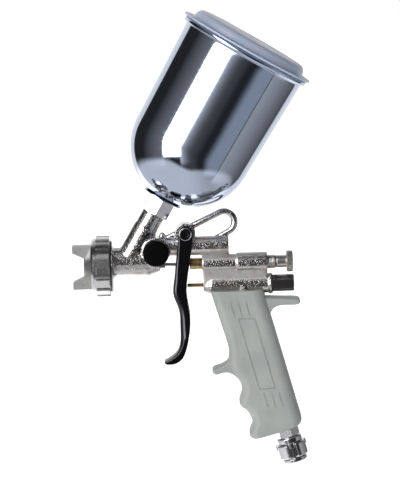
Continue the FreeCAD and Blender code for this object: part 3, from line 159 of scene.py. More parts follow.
class LidSettings(PropertyGroup):
    brim: length("Brim", "Radius of the lid's brim", 50.5)
    disc: length("Disc", "Radius of the raised top", 43.5)
    top: length("Top", "Height of the lid's top", 130.6)
    bend: length("Bend", "Radius of the raised top's edge", 5.0)
    wall: length("Wall", "Thickness of the lid", 1.5)
    plastic: colour("Plastic", "Colour of the lid", (0.33, 0.40, 0.52))


class MetalSettings(PropertyGroup):
    nickel: colour("Nickel", "Colour of turned and plated pieces", (0.66, 0.66, 0.69))
    dark_chrome: colour("Dark chrome", "Colour of the valve cap and the pin", (0.3, 0.285, 0.3))
    satin: colour("Satin", "Colour of the air cap", (0.50, 0.495, 0.49))
    brass: colour("Brass", "Colour of the brass pieces", (0.50, 0.36, 0.19))
    edge: length("Edge", "Width of the broken edges of machined pieces", 0.22)


class StudioSettings(PropertyGroup):
    azimuth: angle("Azimuth", "Where the camera stands round the gun", 0.0)
    elevation: angle("Elevation", "How far the camera stands above the gun", 7.5)
    roll: angle("Roll", "Lean of the camera", 1.73)
    aim: FloatVectorProperty(
        name="Aim", description="Point the camera looks at, from the middle of the gun", size=3,
        subtype="TRANSLATION", unit="LENGTH", default=(0.00525, 0.0, -0.00065),
    )
    distance: FloatProperty(name="Distance", description="From camera to gun", default=2.0, unit="LENGTH")
    lens: FloatProperty(name="Lens", description="Focal length in millimetres", default=208.0, min=1.0)
    key: FloatProperty(name="Softbox", description="Brightness of the large softbox", default=6.0, min=0.0)


class SprayGunSettings(PropertyGroup):
    casting: PointerProperty(type=CastingSettings)
    grip: PointerProperty(type=GripSettings)
    trigger: PointerProperty(type=TriggerSettings)
    cup: PointerProperty(type=CupSettings)
    lid: PointerProperty(type=LidSettings)
    metal: PointerProperty(type=MetalSettings)
    studio: PointerProperty(type=StudioSettings)


# ------------------------------------------------------------ materials
class Nodes:
    """Node tree of one procedural material or world."""

    def __init__(self, tree):
        self.tree = tree

    def add(self, kind, inputs=None, **settings):
        node = self.tree.nodes.new(kind)
        for key, value in settings.items():
            setattr(node, key, value)
        for key, value in (inputs or {}).items():
            self.feed(node.inputs[key], value)
        return node

    def feed(self, socket, value):
        if isinstance(value, bpy.types.NodeSocket):
            self.tree.links.new(value, socket)
        else:
            socket.default_value = value

    def math(self, operation, *values):
        return self.add("ShaderNodeMath", dict(enumerate(values)), operation=operation).outputs[0]

    def vector(self, operation, first, second, output=0):
        inputs = {0: first, "Scale" if operation == "SCALE" else 1: second}
        return self.add("ShaderNodeVectorMath", inputs, operation=operation).outputs[output]

    def spread(self, value, low, high, to_low=0.0, to_high=1.0, smooth=True):
        node = self.add("ShaderNodeMapRange", {
            "Value": value, "From Min": low, "From Max": high, "To Min": to_low, "To Max": to_high,
        })
        node.interpolation_type = "SMOOTHSTEP" if smooth else "LINEAR"
        return node.outputs["Result"]

    def noise(self, where, size, detail=3.0, roughness=0.5, distortion=0.0):
        return self.add("ShaderNodeTexNoise", {
            "Vector": where, "Scale": 1.0 / size, "Detail": detail, "Roughness": roughness,
            "Distortion": distortion,
        }).outputs["Fac"]

    def mix(self, factor, first, second):
        node = self.add("ShaderNodeMix", data_type="RGBA")
        self.feed(node.inputs[0], factor)
        self.feed(node.inputs[6], first)
        self.feed(node.inputs[7], second)
        return node.outputs[2]

    def bump(self, height, depth, strength=1.0, below=None):
        node = self.add("ShaderNodeBump", {"Height": height, "Distance": depth, "Strength": strength})
        if below is not None:
            self.feed(node.inputs["Normal"], below)
        return node.outputs["Normal"]


def finish_named(name, metallic, **sockets):
    """New material with a Principled shader. Returns it, its Nodes, the shader and its object coordinates."""
    material = bpy.data.materials.new(name)
    material.use_nodes = True
    nodes = Nodes(material.node_tree)
    shader = material.node_tree.nodes["Principled BSDF"]
    shader.inputs["Metallic"].default_value = metallic
    for key, value in sockets.items():
        shader.inputs[key.replace("_", " ")].default_value = value
    where = nodes.add("ShaderNodeTexCoord").outputs["Object"]
    return material, nodes, shader, where


def opaque(shade, gain=1.0):
    return tuple(min(1.0, part * gain) for part in shade) + (1.0,)


def round_axis(nodes, where, axis):
    """Distance from an axis and station along it, in metres."""
    centred = nodes.vector("SUBTRACT", where, axis.origin)
    station = nodes.vector("DOT_PRODUCT", centred, axis.along, "Value")
    foot = nodes.vector("SCALE", axis.along, station)
    return nodes.vector("DISTANCE", centred, foot, "Value"), station


def turned_lines(nodes, where, axis, pitch):
    """Fine tool marks round an axis, as heights from 0 to 1."""
    radius, station = round_axis(nodes, where, axis)
    course = nodes.add("ShaderNodeCombineXYZ", {"X": radius, "Y": station}).outputs[0]
    return nodes.noise(course, pitch, detail=4.0, roughness=0.7)


def plated_casting(gun):
    """Nickel plate over a casting: clean flanks with scattered grains, rough webs and a few dull stains."""
    look = gun.casting
    material, nodes, shader, where = finish_named("plated_casting", 1.0)
    coarse = nodes.noise(where, look.grain, detail=2.0, roughness=0.5)
    fine = nodes.noise(where, look.grain * 0.5, detail=3.0, roughness=0.6)
    patches = nodes.noise(where, 8 * MM, detail=3.0)
    backward, sideways, upward = nodes.add("ShaderNodeSeparateXYZ", {0: where}).outputs
    nozzle_back, needle_height = NEEDLE.origin.x, NEEDLE.origin.z
    web = nodes.spread(nodes.math("ABSOLUTE", sideways), 4.8 * MM, 6.3 * MM, 1.0, 0.0)
    behind_head = nodes.spread(backward, nozzle_back + 40 * MM, nozzle_back + 55 * MM)
    below_hook = nodes.spread(upward, needle_height + 17 * MM, needle_height + 19 * MM, 1.0, 0.0)
    rough = nodes.math("MULTIPLY", nodes.math("MULTIPLY", web, behind_head), below_hook)
    pits = nodes.spread(fine, 0.30, 0.46)
    plate = nodes.mix(nodes.spread(patches, 0.5, 0.7, 0.0, 0.6), opaque(look.plate), opaque(look.stain, 1.3))
    nodes.feed(shader.inputs["Base Color"], nodes.mix(pits, opaque(look.plate, 0.6), plate))
    stained = nodes.spread(patches, 0.52, 0.68, 0.0, 0.06)
    gloss = nodes.math("ADD", nodes.spread(fine, 0.3, 0.7, 0.17, 0.08), stained)
    nodes.feed(shader.inputs["Roughness"], nodes.math("ADD", gloss, nodes.math("MULTIPLY", rough, 0.25)))
    scattered = nodes.bump(nodes.spread(coarse, 0.55, 0.74), 0.1 * MM, 0.8)
    waves = nodes.bump(nodes.noise(where, 5 * MM, detail=1.0), 0.3 * MM, 0.15, below=scattered)
    nodes.feed(shader.inputs["Normal"], nodes.bump(coarse, 0.3 * MM, rough, below=waves))
    return material


def grip_nylon(gun):
    """Grey moulded nylon with a fine spark-eroded grain."""
    look = gun.grip
    material, nodes, shader, where = finish_named("grip_nylon", 0.0, Specular_IOR_Level=0.42)
    cloud = nodes.noise(where, 16 * MM, detail=3.0)
    speck = nodes.noise(where, 0.32 * MM, detail=2.0)
    worn = nodes.mix(nodes.spread(cloud, 0.35, 0.7), opaque(look.nylon, 0.95), opaque(look.nylon, 1.06))
    specked = nodes.mix(nodes.spread(speck, 0.42, 0.75, 0.0, 0.3), worn, opaque(look.nylon, 0.8))
    nodes.feed(shader.inputs["Base Color"], specked)
    nodes.feed(shader.inputs["Roughness"], nodes.spread(cloud, 0.3, 0.7, 0.44, 0.56))
    nodes.feed(shader.inputs["Normal"], nodes.bump(speck, 0.06 * MM, 0.5))
    return material


def black_chrome(name, shade, worn=0.0):
    """Black chrome, almost a mirror, with faint polishing haze. worn is how dull its forward faces are."""
    material, nodes, shader, where = finish_named(name, 1.0)
    haze = nodes.noise(where, 5 * MM, detail=4.0)
    hairs = nodes.noise(where, 0.25 * MM, detail=2.0)
    nodes.feed(shader.inputs["Base Color"], nodes.mix(haze, opaque(shade, 0.9), opaque(shade, 1.1)))
    gloss = nodes.spread(haze, 0.3, 0.7, 0.09, 0.17)
    if worn > 0.0:
        facing = nodes.add("ShaderNodeTexCoord").outputs["Normal"]
        forward = nodes.add("ShaderNodeSeparateXYZ", {0: facing}).outputs["X"]
        gloss = nodes.math("ADD", gloss, nodes.spread(forward, -0.6, -0.15, worn, 0.0))
    nodes.feed(shader.inputs["Roughness"], gloss)
    nodes.feed(shader.inputs["Normal"], nodes.bump(hairs, 0.01 * MM, 0.25))
    return material


def polished_aluminium(gun):
    """Spun and polished aluminium: a mirror with faint lines round the cup and a slow waviness."""
    material, nodes, shader, where = finish_named("polished_aluminium", 1.0)
    lines = turned_lines(nodes, where, CUP, 0.5 * MM)
    haze = nodes.noise(where, 14 * MM, detail=3.0)
    shade = gun.cup.polish
    nodes.feed(shader.inputs["Base Color"], nodes.mix(haze, opaque(shade, 0.96), opaque(shade, 1.04)))
    nodes.feed(shader.inputs["Roughness"], nodes.spread(lines, 0.3, 0.75, 0.05, 0.13))
    slow = nodes.bump(nodes.noise(where, 22 * MM, detail=1.0), 0.6 * MM, 0.10)
    nodes.feed(shader.inputs["Normal"], nodes.bump(lines, 0.008 * MM, 0.5, below=slow))
    return material


def lid_plastic(gun):
    """Blue-grey moulded plastic with a satin skin and faint flow marks."""
    shade = gun.lid.plastic
    material, nodes, shader, where = finish_named("lid_plastic", 0.0, Specular_IOR_Level=0.22)
    radius = round_axis(nodes, where, CUP)[0]
    flow = nodes.noise(where, 18 * MM, detail=3.0, distortion=0.6)
    rings = nodes.noise(nodes.add("ShaderNodeCombineXYZ", {"X": radius}).outputs[0], 1.6 * MM, detail=3.0)
    warm = opaque((shade[0] * 1.18, shade[1], shade[2] * 0.98))
    nodes.feed(shader.inputs["Base Color"], nodes.mix(nodes.spread(flow, 0.35, 0.75), opaque(shade), warm))
    nodes.feed(shader.inputs["Roughness"], nodes.spread(flow, 0.3, 0.7, 0.27, 0.38))
    nodes.feed(shader.inputs["Normal"], nodes.bump(rings, 0.03 * MM, 0.35))
    return material


def turned_metal(name, shade, axis, rough, pitch, depth, stain, grain):
    """Turned metal: tool marks round its axis, with a stain and a fine grain where asked."""
    material, nodes, shader, where = finish_named(name, 1.0)
    lines = turned_lines(nodes, where, axis, pitch)
    patch = nodes.noise(where, 3.5 * MM, detail=4.0, roughness=0.6)
    dull = opaque(stain) if stain is not None else opaque(shade, 0.86)
    nodes.feed(shader.inputs["Base Color"], nodes.mix(nodes.spread(patch, 0.5, 0.72), opaque(shade), dull))
    nodes.feed(shader.inputs["Roughness"], nodes.spread(lines, 0.25, 0.75, rough[0], rough[1]))
    normal = nodes.bump(lines, depth, 0.6)
    if grain > 0.0:
        normal = nodes.bump(nodes.noise(where, grain, detail=3.0), 0.12 * MM, 0.5, below=normal)
    nodes.feed(shader.inputs["Normal"], normal)
    return material


def moulded(name, shade, rough, grain, depth, specular):
    """Plain moulded plastic or rubber with a fine grain."""
    material, nodes, shader, where = finish_named(name, 0.0, Specular_IOR_Level=specular)
    fine = nodes.noise(where, grain, detail=3.0)
    broad = nodes.noise(where, 5 * MM, detail=2.0)
    nodes.feed(shader.inputs["Base Color"], nodes.mix(broad, opaque(shade, 0.85), opaque(shade, 1.2)))
    nodes.feed(shader.inputs["Roughness"], nodes.spread(fine, 0.3, 0.7, rough[0], rough[1]))
    nodes.feed(shader.inputs["Normal"], nodes.bump(fine, depth, 0.6))
    return material


def make_finishes(gun):
    """Every material of the gun, by the record's slot."""
    metal = gun.metal
    nickel, brass = metal.nickel, metal.brass
    brown_stain = (0.36, 0.27, 0.18)
    brass_stain = tuple(part * 0.35 for part in brass)
    ring_grain, cap_grain = 0.8 * MM, 0.4 * MM
    # name, colour, axis, least and most roughness, pitch and depth of the tool marks, stain, grain
    turned = (
        ("plated_turned", nickel, INLET, (0.07, 0.2), 0.35, 0.015, None, 0.0),
        ("satin_nickel", (0.66, 0.65, 0.66), NEEDLE, (0.14, 0.26), 0.5, 0.008, None, ring_grain),
        ("satin_aluminium", metal.satin, NEEDLE, (0.38, 0.5), 0.4, 0.03, None, cap_grain),
        ("steel", (0.5, 0.5, 0.52), NEEDLE, (0.16, 0.3), 0.3, 0.01, None, 0.0),
        ("satin_steel", (0.56, 0.55, 0.54), NEEDLE, (0.2, 0.36), 0.3, 0.03, brown_stain, 0.0),
        ("spring_steel", (0.42, 0.42, 0.43), NEEDLE, (0.25, 0.4), 0.3, 0.01, None, 0.0),
        ("brass", brass, NEEDLE, (0.16, 0.34), 0.3, 0.02, brass_stain, 0.0),
    )
    # name, colour, least and most roughness, size and depth of the grain, specular level
    plastics = (
        ("black_plastic", (0.0012, 0.0012, 0.0013), (0.3, 0.5), 0.3, 0.03, 0.06),
        ("dark_plastic", (0.02, 0.02, 0.022), (0.45, 0.6), 0.3, 0.02, 0.4),
        ("seal_rubber", (0.016, 0.016, 0.017), (0.6, 0.8), 0.2, 0.02, 0.3),
        ("packing_plastic", (0.8, 0.8, 0.77), (0.35, 0.5), 0.3, 0.01, 0.4),
    )
    finishes = {
        "plated_casting": plated_casting(gun),
        "grip_nylon": grip_nylon(gun),
        "black_chrome": black_chrome("black_chrome", metal.dark_chrome),
        "black_lacquer": black_chrome("black_lacquer", gun.trigger.chrome, worn=0.22),
        "polished_aluminium": polished_aluminium(gun),
        "lid_plastic": lid_plastic(gun),
    }
    for name, shade, axis, rough, pitch, depth, stain, grain in turned:
        finishes[name] = turned_metal(name, shade, axis, rough, pitch * MM, depth * MM, stain, grain)
    for name, shade, rough, grain, depth, specular in plastics:
        finishes[name] = moulded(name, shade, rough, grain * MM, depth * MM, specular)
    return finishes


FINISHES = {}


def finish_of(slot):
    """The material for one of the record's slots."""
    if not FINISHES:
        FINISHES.update(make_finishes(bpy.context.scene.spray_gun))
    return FINISHES[slot]


# ------------------------------------------------------------ pieces
SLOT_OF = {part["node"]: part["material_slot"] for part in frame["record"]["subparts"]}
BODY_OF = {
    node: body for body, nodes in frame["record"]["behaviour"]["bodies"].items() for node in nodes
}


def dress(node, edge=0.0, edge_angle=32.0, finish=None):
    """Give a CAD node its finish, and break its sharp edges where edge is over zero."""
    piece = frame["nodes"][node]
    if not piece.material_slots:
        raise RuntimeError(node + " has no material slot")
    for slot in piece.material_slots:
        slot.material = finish_of(finish or SLOT_OF[node])
    if edge > 0.0:
        break_edges(piece, edge, edge_angle)
    return piece


def break_edges(piece, edge, edge_angle):
    """Join the faces up, merge flat ones and bevel the sharp edges."""
    weld = piece.modifiers.new("join_faces", "WELD")
    weld.merge_threshold = 0.002 * MM
    flat = piece.modifiers.new("merge_flats", "DECIMATE")
    flat.decimate_type = "DISSOLVE"
    flat.angle_limit = math.radians(0.6)
    bevel = piece.modifiers.new("broken_edges", "BEVEL")
    bevel.width = edge
    bevel.segments = 2
    bevel.limit_method = "ANGLE"
    bevel.angle_limit = math.radians(edge_angle)
    normals = piece.modifiers.new("even_shading", "WEIGHTED_NORMAL")
    normals.keep_sharp = False


def soften(piece, cell, passes, wave=0.0, wave_size=0.0):
    """Round every corner as a casting or a moulding is rounded, and add slow waves to the skin."""
    weld = piece.modifiers.new("join_faces", "WELD")
    weld.merge_threshold = 0.002 * MM
    cells = piece.modifiers.new("even_cells", "REMESH")
    cells.mode = "VOXEL"
    cells.voxel_size = cell
    cells.use_smooth_shade = True
    rounding = piece.modifiers.new("rounding", "SMOOTH")
    rounding.factor = 0.5
    rounding.iterations = passes
    if wave > 0.0:
        pattern = bpy.data.textures.new(piece.name + "_waves", "CLOUDS")
        pattern.noise_scale = wave_size
        ripple = piece.modifiers.new("slow_waves", "DISPLACE")
        ripple.texture = pattern
        ripple.texture_coords = "LOCAL"
        ripple.strength = wave
        ripple.mid_level = 0.5


def new_piece(name, mesh, node):
    """Show a new mesh in place of a CAD node, on the same body and with the same finish."""
    piece = bpy.data.objects.new(name, mesh)
    bpy.context.scene.collection.objects.link(piece)
    mesh.materials.append(finish_of(SLOT_OF[node]))
    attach(piece, BODY_OF[node])
    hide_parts(node)
    return piece


def rounded(corners, steps=4):
    """Profile with each corner turned by an arc: corners are (radius, station, corner radius)."""
    points = []
    count = len(corners)
    for index, (radius, station, bend) in enumerate(corners):
        here = Vector((radius, station))
        before = Vector(corners[index - 1][:2]) - here
        after = Vector(corners[(index + 1) % count][:2]) - here
        turn = before.angle(after, math.pi)
        if bend <= 0.0 or turn > math.radians(176) or min(before.length, after.length) < 1e-6:
            points.append((radius, station))
            continue
        reach = min(bend / math.tan(turn / 2), 0.49 * before.length, 0.49 * after.length)
        start = here + before.normalized() * reach
        end = here + after.normalized() * reach
        for step in range(steps + 1):
            part = step / steps
            spot = start * (1 - part) ** 2 + here * 2 * part * (1 - part) + end * part ** 2
            points.append((spot.x, spot.y))
    return points


def lathe(name, profile, axis, segments, shape=None):
    """Closed turned mesh. profile is a closed loop of (radius, station); shape(radius, station, angle) may
    change the radius, as for flutes or a thread."""
    mesh = bpy.data.meshes.new(name)
    build = bmesh.new()
    rings = []
    for radius, station in profile:
        if radius < 1e-4:
            rings.append([build.verts.new(axis.point(0.0, 0.0, station))])
            continue
        ring = []
        for index in range(segments):
            turn = 2 * math.pi * index / segments
            reach = shape(radius, station, turn) if shape else radius
            ring.append(build.verts.new(axis.point(reach, turn, station)))
        rings.append(ring)
    for first, second in zip(rings, rings[1:] + rings[:1]):
        if len(first) == 1 and len(second) == 1:
            continue
        for index in range(segments):
            after = (index + 1) % segments
            corners = [first[index % len(first)], first[after % len(first)],
                       second[after % len(second)], second[index % len(second)]]
            build.faces.new(list(dict.fromkeys(corners)))
    bmesh.ops.recalc_face_normals(build, faces=build.faces)
    build.to_mesh(mesh)
    build.free()
    mesh.polygons.foreach_set("use_smooth", [True] * len(mesh.polygons))
    return mesh


def keep_flats(piece):
    """Shade flat faces flat and rounded edges smooth."""
    normals = piece.modifiers.new("even_shading", "WEIGHTED_NORMAL")
    normals.keep_sharp = False


def arc(centre, radius, start, end, steps):
    """Points round (radius, station) centre from start to end, in degrees from straight out."""
    points = []
    for step in range(steps + 1):
        turn = math.radians(start + (end - start) * step / steps)
        points.append((centre[0] + radius * math.cos(turn), centre[1] + radius * math.sin(turn)))
    return points


def ladder(start, end, steps):
    """Evenly spaced points between two profile points, without the last."""
    return [
        (start[0] + (end[0] - start[0]) * step / steps, start[1] + (end[1] - start[1]) * step / steps)
        for step in range(steps)
    ]


# ------------------------------------------------------------ operators
class SPRAYGUN_OT_casting(Operator):
    """Round the corners of the cast body and plate it"""

    bl_idname = "spray_gun.casting"
    bl_label = "Casting"

    def execute(self, context):
        look = context.scene.spray_gun.casting
        soften(dress("gun_body"), look.voxel, look.rounding, look.wave, 3.0 * MM)
        return {"FINISHED"}


class SPRAYGUN_OT_grip(Operator):
    """Moulded grip with its engraved lines"""

    bl_idname = "spray_gun.grip"
    bl_label = "Grip"

    def execute(self, context):
        dress("grip")
        return {"FINISHED"}


class SPRAYGUN_OT_trigger(Operator):
    """Trigger in black chrome with its pin, washers and nut"""

    bl_idname = "spray_gun.trigger"
    bl_label = "Trigger and pin"

    def execute(self, context):
        gun = context.scene.spray_gun
        soften(dress("trigger", finish="black_lacquer"), gun.trigger.voxel, gun.trigger.rounding)
        dress("trigger_pin", gun.metal.edge * 0.6, finish="black_lacquer")
        dress("trigger_pin_nut", gun.metal.edge * 0.6)
        low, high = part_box("trigger_pin_washers")
        near, far = (low.y - PIN.origin.y) / MM, (high.y - PIN.origin.y) / MM
        rim_in, rim_out, bore, thick, break_radius = 3.73, 4.55, 2.53, 0.6, 0.15
        cheek = near + 1.4
        lip = (rim_out - rim_in) / 2
        rim = [(bore, cheek + thick), (bore, cheek), (rim_in, cheek)]
        rim += arc((rim_in + lip, near + lip), lip, 180.0, 360.0, 12)
        rim += rounded([
            (rim_out, cheek, 0.0), (rim_out, cheek + thick, break_radius), (bore, cheek + thick, 0.0),
        ])[:-1]
        washers = lathe("pin_washers", rim, PIN, 64)
        tail = rounded([
            (bore, far - thick, 0.0), (rim_out, far - thick, break_radius), (rim_out, far, break_radius),
            (bore, far, 0.0),
        ])
        back = lathe("pin_back_washer", tail, PIN, 64)
        join = bmesh.new()
        join.from_mesh(washers)
        join.from_mesh(back)
        join.to_mesh(washers)
        join.free()
        bpy.data.meshes.remove(back)
        keep_flats(new_piece("pin_washers", washers, "trigger_pin_washers"))
        return {"FINISHED"}


class SPRAYGUN_OT_cup(Operator):
    """Spun cup with its rolled edge, and the nut, washer and lock nut that hold it"""

    bl_idname = "spray_gun.cup"
    bl_label = "Cup"

    def execute(self, context):
        gun = context.scene.spray_gun
        look = gun.cup
        wall, bead, ball = look.wall / MM, look.bead / MM, look.ball / MM
        middle, top_radius, top = look.ball_station / MM, look.top_radius / MM, look.top_station / MM
        bottom, hole = 0.15, 7.0
        low_turn = -math.degrees(math.asin((middle - bottom) / ball))
        inner_turn = -math.degrees(math.asin((middle - bottom - wall) / (ball - wall)))
        bead_middle = (top_radius - wall + bead, top + bead)
        outside = ladder((hole, bottom), (ball * math.cos(math.radians(low_turn)), bottom), 6)
        outside += arc((0.0, middle), ball, low_turn, 0.0, 40)
        outside += ladder((ball, middle), (top_radius, top - 0.8), 30)[1:]
        outside += arc((top_radius + 0.8, top - 0.8), 0.8, 180.0, 95.0, 4)
        rolled = arc(bead_middle, bead, -70.0, 180.0, 18)
        inside = ladder((top_radius - wall, top), (ball - wall, middle), 24)
        inside += arc((0.0, middle), ball - wall, 0.0, inner_turn, 30)
        inside += [(hole, bottom + wall)]
        mesh = lathe("spun_cup", outside + rolled + inside, CUP, 192)
        new_piece("spun_cup", mesh, "cup_shell")
        for node in ("cup_nut", "cup_lock_nut"):
            dress(node, gun.metal.edge)
        washer = rounded([
            (hole, -0.88, 0.1), (14.4, -0.88, 0.15), (14.8, -0.55, 0.2), (14.8, -0.1, 0.2), (14.3, 0.13, 0.15),
            (hole, 0.13, 0.1),
        ])
        keep_flats(new_piece("seat_washer", lathe("seat_washer", washer, CUP, 96), "cup_washer"))
        return {"FINISHED"}


class SPRAYGUN_OT_lid(Operator):
    """Press-in lid with its brim, raised top and breather hole"""

    bl_idname = "spray_gun.lid"
    bl_label = "Lid"

    def execute(self, context):
        look = context.scene.spray_gun.lid
        brim, disc, top = look.brim / MM, look.disc / MM, look.top / MM
        wall, bend = look.wall / MM, look.bend / MM
        plug, plug_end, brim_low, brim_high, vent = 44.7, 113.1, 122.2, 123.8, 0.8
        inner, root = disc - wall, 1.0
        profile = [(vent, top)] + ladder((vent + 0.2, top), (disc - bend, top), 10)
        profile += arc((disc - bend, top - bend), bend, 90.0, 4.0, 12)
        profile += arc((disc + 0.35 + root, brim_high + root), root, 184.0, 268.0, 6)
        profile += rounded([
            (brim - 3.0, brim_high, 0.0), (brim, brim_high - 0.05, 0.5), (brim, brim_low, 0.4),
            (plug, brim_low, 0.3), (plug, plug_end, 0.8), (inner, plug_end, 0.4),
        ])
        profile += arc((inner - bend + wall, top - bend), bend - wall, 0.0, 90.0, 8)
        profile += [(vent, top - wall)]
        new_piece("press_lid", lathe("press_lid", profile, CUP, 160), "cup_lid")
        return {"FINISHED"}


class SPRAYGUN_OT_head(Operator):
    """Air cap, its ring, the washer behind it, the nozzle and the diffuser"""

    bl_idname = "spray_gun.head"
    bl_label = "Spray head"

    def execute(self, context):
        edge = context.scene.spray_gun.metal.edge
        dress("air_cap", edge * 0.8)
        dress("air_cap_ring", edge * 1.4)
        dress("head_washer")
        dress("fluid_nozzle", edge * 0.5)
        dress("air_diffuser")
        return {"FINISHED"}


class SPRAYGUN_OT_needle(Operator):
    """Needle with its collar, packing, gland nut, spring and spring seat"""

    bl_idname = "spray_gun.needle"
    bl_label = "Needle"

    def execute(self, context):
        edge = context.scene.spray_gun.metal.edge
        for node in ("fluid_needle", "needle_packing", "needle_spring"):
            dress(node)
        for node in ("needle_collar", "packing_gland_nut", "spring_seat"):
            dress(node, edge * 0.7)
        return {"FINISHED"}


class SPRAYGUN_OT_fluid_knob(Operator):
    """Adjusting screw with its thread and knurled head"""

    bl_idname = "spray_gun.fluid_knob"
    bl_label = "Fluid knob"

    thread_radius = 5.15
    thread_end = 11.7
    pitch = 1.0
    thread_depth = 0.42
    head_start = 20.2
    head_end = 24.8
    head_radius = 7.6
    knurls = 30
    knurl_depth = 0.3

    def surface(self, radius, station, turn):
        """Thread near the front and straight knurls round the head."""
        if abs(radius - self.thread_radius) < 1e-6 and station < self.thread_end:
            share = (station / self.pitch - turn / (2 * math.pi)) % 1.0
            fade = min(1.0, (self.thread_end - station) / 0.6)
            return radius - self.thread_depth * fade * (1.0 - abs(2.0 * share - 1.0)) ** 1.2
        if radius > self.head_radius - 0.35:
            return radius - self.knurl_depth * max(0.0, math.cos(self.knurls * turn)) ** 3
        return radius

    def execute(self, context):
        stud, bevel, bore, bore_end = 4.5, 0.5, 1.8, 9.0
        head, start, end = self.head_radius, self.head_start, self.head_end
        thread, thread_end = self.thread_radius, self.thread_end
        dish, dish_depth = 5.6, 0.25
        profile = [(bore, bore_end), (bore, 0.0), (thread - bevel, 0.0)]
        profile += ladder((thread, bevel), (thread, thread_end), 88)
        profile += [(thread - 0.3, thread_end + 0.1)]
        profile += rounded([
            (stud, thread_end + 0.5, 0.3), (stud, start, 0.5), (head - bevel, start, 0.2),
            (head, start + bevel, 0.2), (head, end - bevel, 0.2), (head - bevel, end, 0.2),
            (dish + 0.4, end, 0.1), (dish, end - dish_depth, 0.2), (0.0, end - dish_depth, 0.0),
        ])[:-1]
        profile += [(0.0, end - dish_depth), (0.0, bore_end)]
        mesh = lathe("adjusting_screw", profile, KNOB, 240, self.surface)
        piece = new_piece("adjusting_screw", mesh, "fluid_knob")
        keep_flats(piece)
        return {"FINISHED"}


class SPRAYGUN_OT_fan_control(Operator):
    """Fluted fan knob with its spindle and bush"""

    bl_idname = "spray_gun.fan_control"
    bl_label = "Fan control"

    radius = 9.4
    flutes = 40
    flute_depth = 0.3

    def surface(self, radius, station, turn):
        """Flutes round the rim."""
        if radius > self.radius - 0.4:
            return radius - self.flute_depth * max(0.0, math.cos(self.flutes * turn)) ** 2
        return radius

    def execute(self, context):
        edge = context.scene.spray_gun.metal.edge
        rim, thick, socket, socket_floor = self.radius, 7.7, 1.92, 4.6
        profile = rounded([
            (0.0, 0.0, 0.0), (rim - 1.4, 0.0, 0.6), (rim, 1.1, 0.6), (rim, thick - 0.5, 0.3),
            (rim - 0.6, thick, 0.2), (socket, thick, 0.1), (socket, socket_floor, 0.0), (0.0, socket_floor, 0.0),
        ])
        new_piece("fluted_knob", lathe("fluted_knob", profile, FAN, 240, self.surface), "fan_knob")
        dress("fan_spindle")
        dress("fan_valve_bush", edge)
        return {"FINISHED"}


class SPRAYGUN_OT_air_valve(Operator):
    """Air valve: stem, guide, seat, poppet, spring, cap and gasket"""

    bl_idname = "spray_gun.air_valve"
    bl_label = "Air valve"

    def execute(self, context):
        edge = context.scene.spray_gun.metal.edge
        for part in ("guide", "seat", "poppet", "spring", "cap_gasket", "stem"):
            dress("valve_" + part)
        dress("valve_cap", edge)
        dress("air_passage_plug", edge * 0.7)
        return {"FINISHED"}


class SPRAYGUN_OT_inlet(Operator):
    """Air inlet: nipple, coupling body, seal and turning sleeve"""

    bl_idname = "spray_gun.inlet"
    bl_label = "Air inlet"

    def execute(self, context):
        edge = context.scene.spray_gun.metal.edge
        dress("inlet_nipple", edge)
        dress("coupler_body", edge)
        dress("coupler_sleeve", edge * 1.3)
        dress("coupler_seal")
        return {"FINISHED"}


